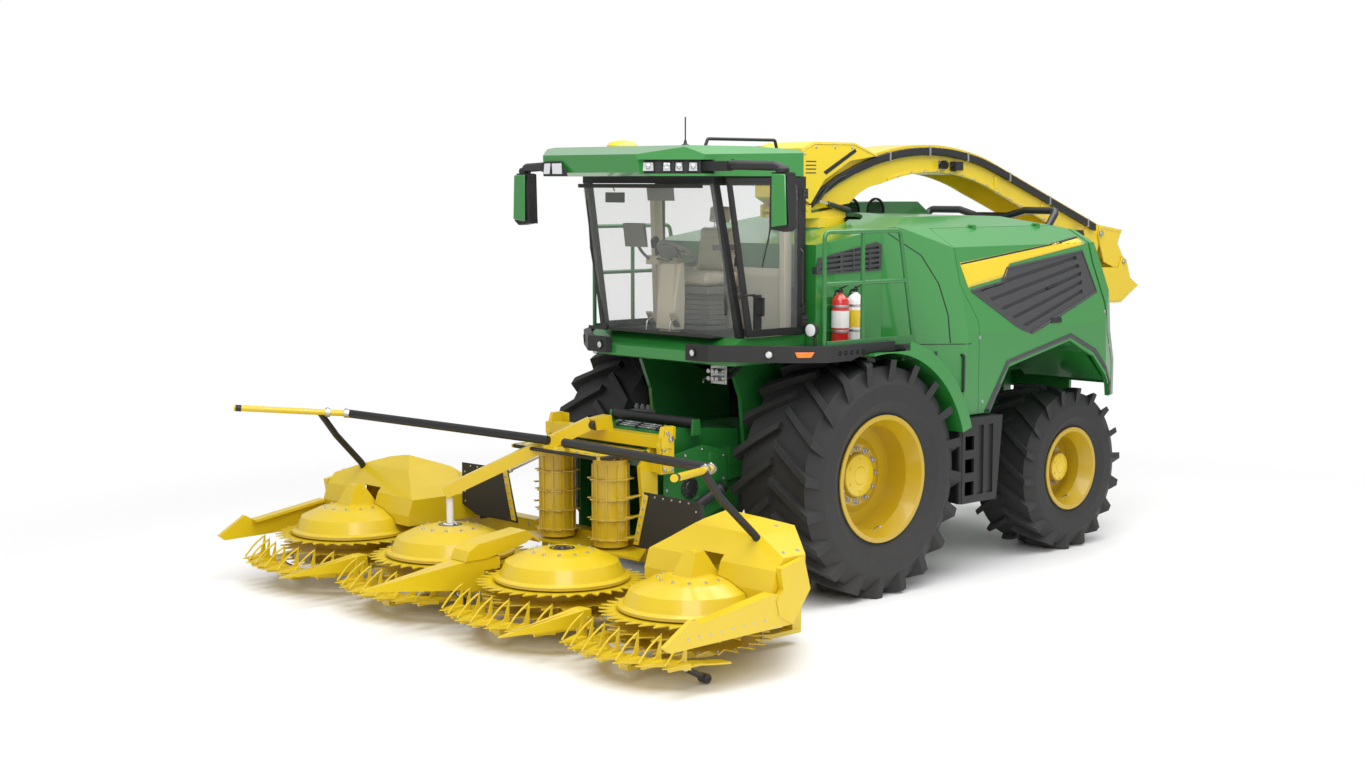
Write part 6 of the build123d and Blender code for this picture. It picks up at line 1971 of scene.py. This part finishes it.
@dataclass(frozen=True)
class Studio:
    """Pale floor, soft light and the photograph's camera.

    Attributes:
        eye: camera's place from the front axle.
        yaw: heading of its view, degrees from +X towards +Y.
        pitch: tilt of its view, degrees.
        lens: focal length in millimetres on a 36 mm wide sensor.
        floor_half: half of the floor's width.
        fade_from: distance at which the floor starts to turn white.
        fade_to: distance at which it is as white as the backdrop.
        daylight: strength of the surroundings as light.
    """

    eye: tuple = (12.8506, 12.5575, 3.6234)
    yaw: float = 226.414
    pitch: float = -5.933
    lens: float = 51.33
    floor_half: float = 60.0
    fade_from: float = 5.5
    fade_to: float = 9.5
    daylight: float = 0.62

    def build(self) -> None:
        """Make the camera, the world, the lights and the floor."""
        self.camera()
        self.world()
        self.lights()
        self.floor()
        bpy.context.scene.view_settings.view_transform = "Standard"

    def camera(self) -> None:
        """Put the camera where the photograph was taken from."""
        data = bpy.data.cameras.new("camera")
        data.sensor_fit = "HORIZONTAL"
        data.sensor_width = 36.0
        data.lens = self.lens
        data.clip_end = 200.0
        camera = bpy.data.objects.new("camera", data)
        camera.location = at(*self.eye)
        yaw, pitch = math.radians(self.yaw), math.radians(self.pitch)
        look = Vector((math.cos(pitch) * math.cos(yaw), math.cos(pitch) * math.sin(yaw), math.sin(pitch)))
        camera.rotation_euler = look.to_track_quat("-Z", "Y").to_euler()
        show(camera)
        bpy.context.scene.camera = camera

    def world(self) -> None:
        """White surroundings: pure white behind the machine, a little softer as light."""
        world = bpy.data.worlds.new("studio")
        world.use_nodes = True
        bpy.context.scene.world = world
        graph, nodes = Graph(world.node_tree), world.node_tree.nodes
        behind = nodes["Background"]
        graph.feed(behind, {"Color": WHITE, "Strength": 1.0})
        light = graph.add("Background", {"Color": WHITE, "Strength": self.daylight})
        seen = graph.add("LightPath").outputs["Is Camera Ray"]
        mix = graph.add("MixShader", {0: seen, 1: light.outputs[0], 2: behind.outputs[0]})
        graph.feed(nodes["World Output"], {"Surface": mix.outputs[0]})

    def lights(self) -> None:
        """A wide soft box overhead, a key from the front left and a low fill."""
        rows = (
            # name, place, aimed at, width, height, watts
            ("overhead", (0.0, 2.0, 9.5), (0.0, 0.0, 0.0), 14.0, 9.0, 1350.0),
            ("key", (9.0, 9.0, 8.0), (0.5, 0.0, 1.2), 6.0, 6.0, 480.0),
            ("fill", (2.0, 14.0, 2.5), (-1.0, 0.0, 1.5), 8.0, 4.0, 60.0),
        )
        for name, place, aim, width, height, watts in rows:
            data = bpy.data.lights.new(name, "AREA")
            data.shape = "RECTANGLE"
            data.size = width
            data.size_y = height
            data.energy = watts
            lamp = bpy.data.objects.new(name, data)
            lamp.location = at(*place)
            lamp.rotation_euler = (at(*aim) - at(*place)).to_track_quat("-Z", "Y").to_euler()
            show(lamp)

    def floor(self) -> None:
        """Plain pale floor, as one wide plate."""
        half = self.floor_half
        mesh = bpy.data.meshes.new("floor")
        mesh.from_pydata([(-half, -half, 0), (half, -half, 0), (half, half, 0), (-half, half, 0)], [], [(0, 1, 2, 3)])
        floor = bpy.data.objects.new("floor", mesh)
        show(floor)
        material, graph, shader = new_material("pale_floor")
        noise = graph.add("TexNoise", {"Scale": 3.0})
        ramp = graph.add("MapRange", {"To Min": 0.42, "To Max": 0.5, "Value": noise.outputs["Fac"]})
        graph.feed(shader, {"Roughness": ramp.outputs[0], "Base Color": (0.92, 0.92, 0.92, 1),
            "Specular IOR Level": 0.2})
        self.fade(graph, shader)
        mesh.materials.append(material)

    def fade(self, graph: Graph, shader: bpy.types.Node) -> None:
        """Let the far floor turn into the white backdrop, for camera rays only.

        Args:
            graph: the floor material's graph.
            shader: the floor's own shader.
        """
        far = graph.add("VectorMath", {0: graph.add("TexCoord").outputs["Object"]}, operation="LENGTH")
        share = graph.add("MapRange", {"From Min": self.fade_from, "From Max": self.fade_to,
            "Value": far.outputs["Value"]}, interpolation_type="SMOOTHSTEP")
        camera_ray = graph.add("LightPath").outputs["Is Camera Ray"]
        seen = graph.add("Math", {0: share.outputs[0], 1: camera_ray}, operation="MULTIPLY")
        white = graph.add("Emission").outputs[0]
        mix = graph.add("MixShader", {0: seen.outputs[0], 1: shader.outputs[0], 2: white})
        graph.feed(graph.tree.nodes["Material Output"], {"Surface": mix.outputs[0]})


def main() -> None:
    """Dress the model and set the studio."""
    logging.basicConfig(level=logging.INFO, format="%(name)s: %(message)s")
    dress_nodes()
    for hand in BOTH:
        Wheel("front", hand, 1.2, 0.079, 0.117, 0.238, 12, 0.185, 0.5, 0.5615, 0.398).build()
        Wheel("rear", hand, 1.07, 0.054, 0.169, 0.184, 10, 0.13, 0.35, 0.409, 0.314).build()
    Form.make_waiting()
    for part in (CabInterior(), CabExterior(), Platforms(), HoodTrim(), SpoutDress(), FeederArea(), HeaderDress()):
        part.build()
        Form.make_waiting()
        LOG.info("built %s", type(part).__name__)
    Studio().build()


if __name__ == "__main__":
    main()
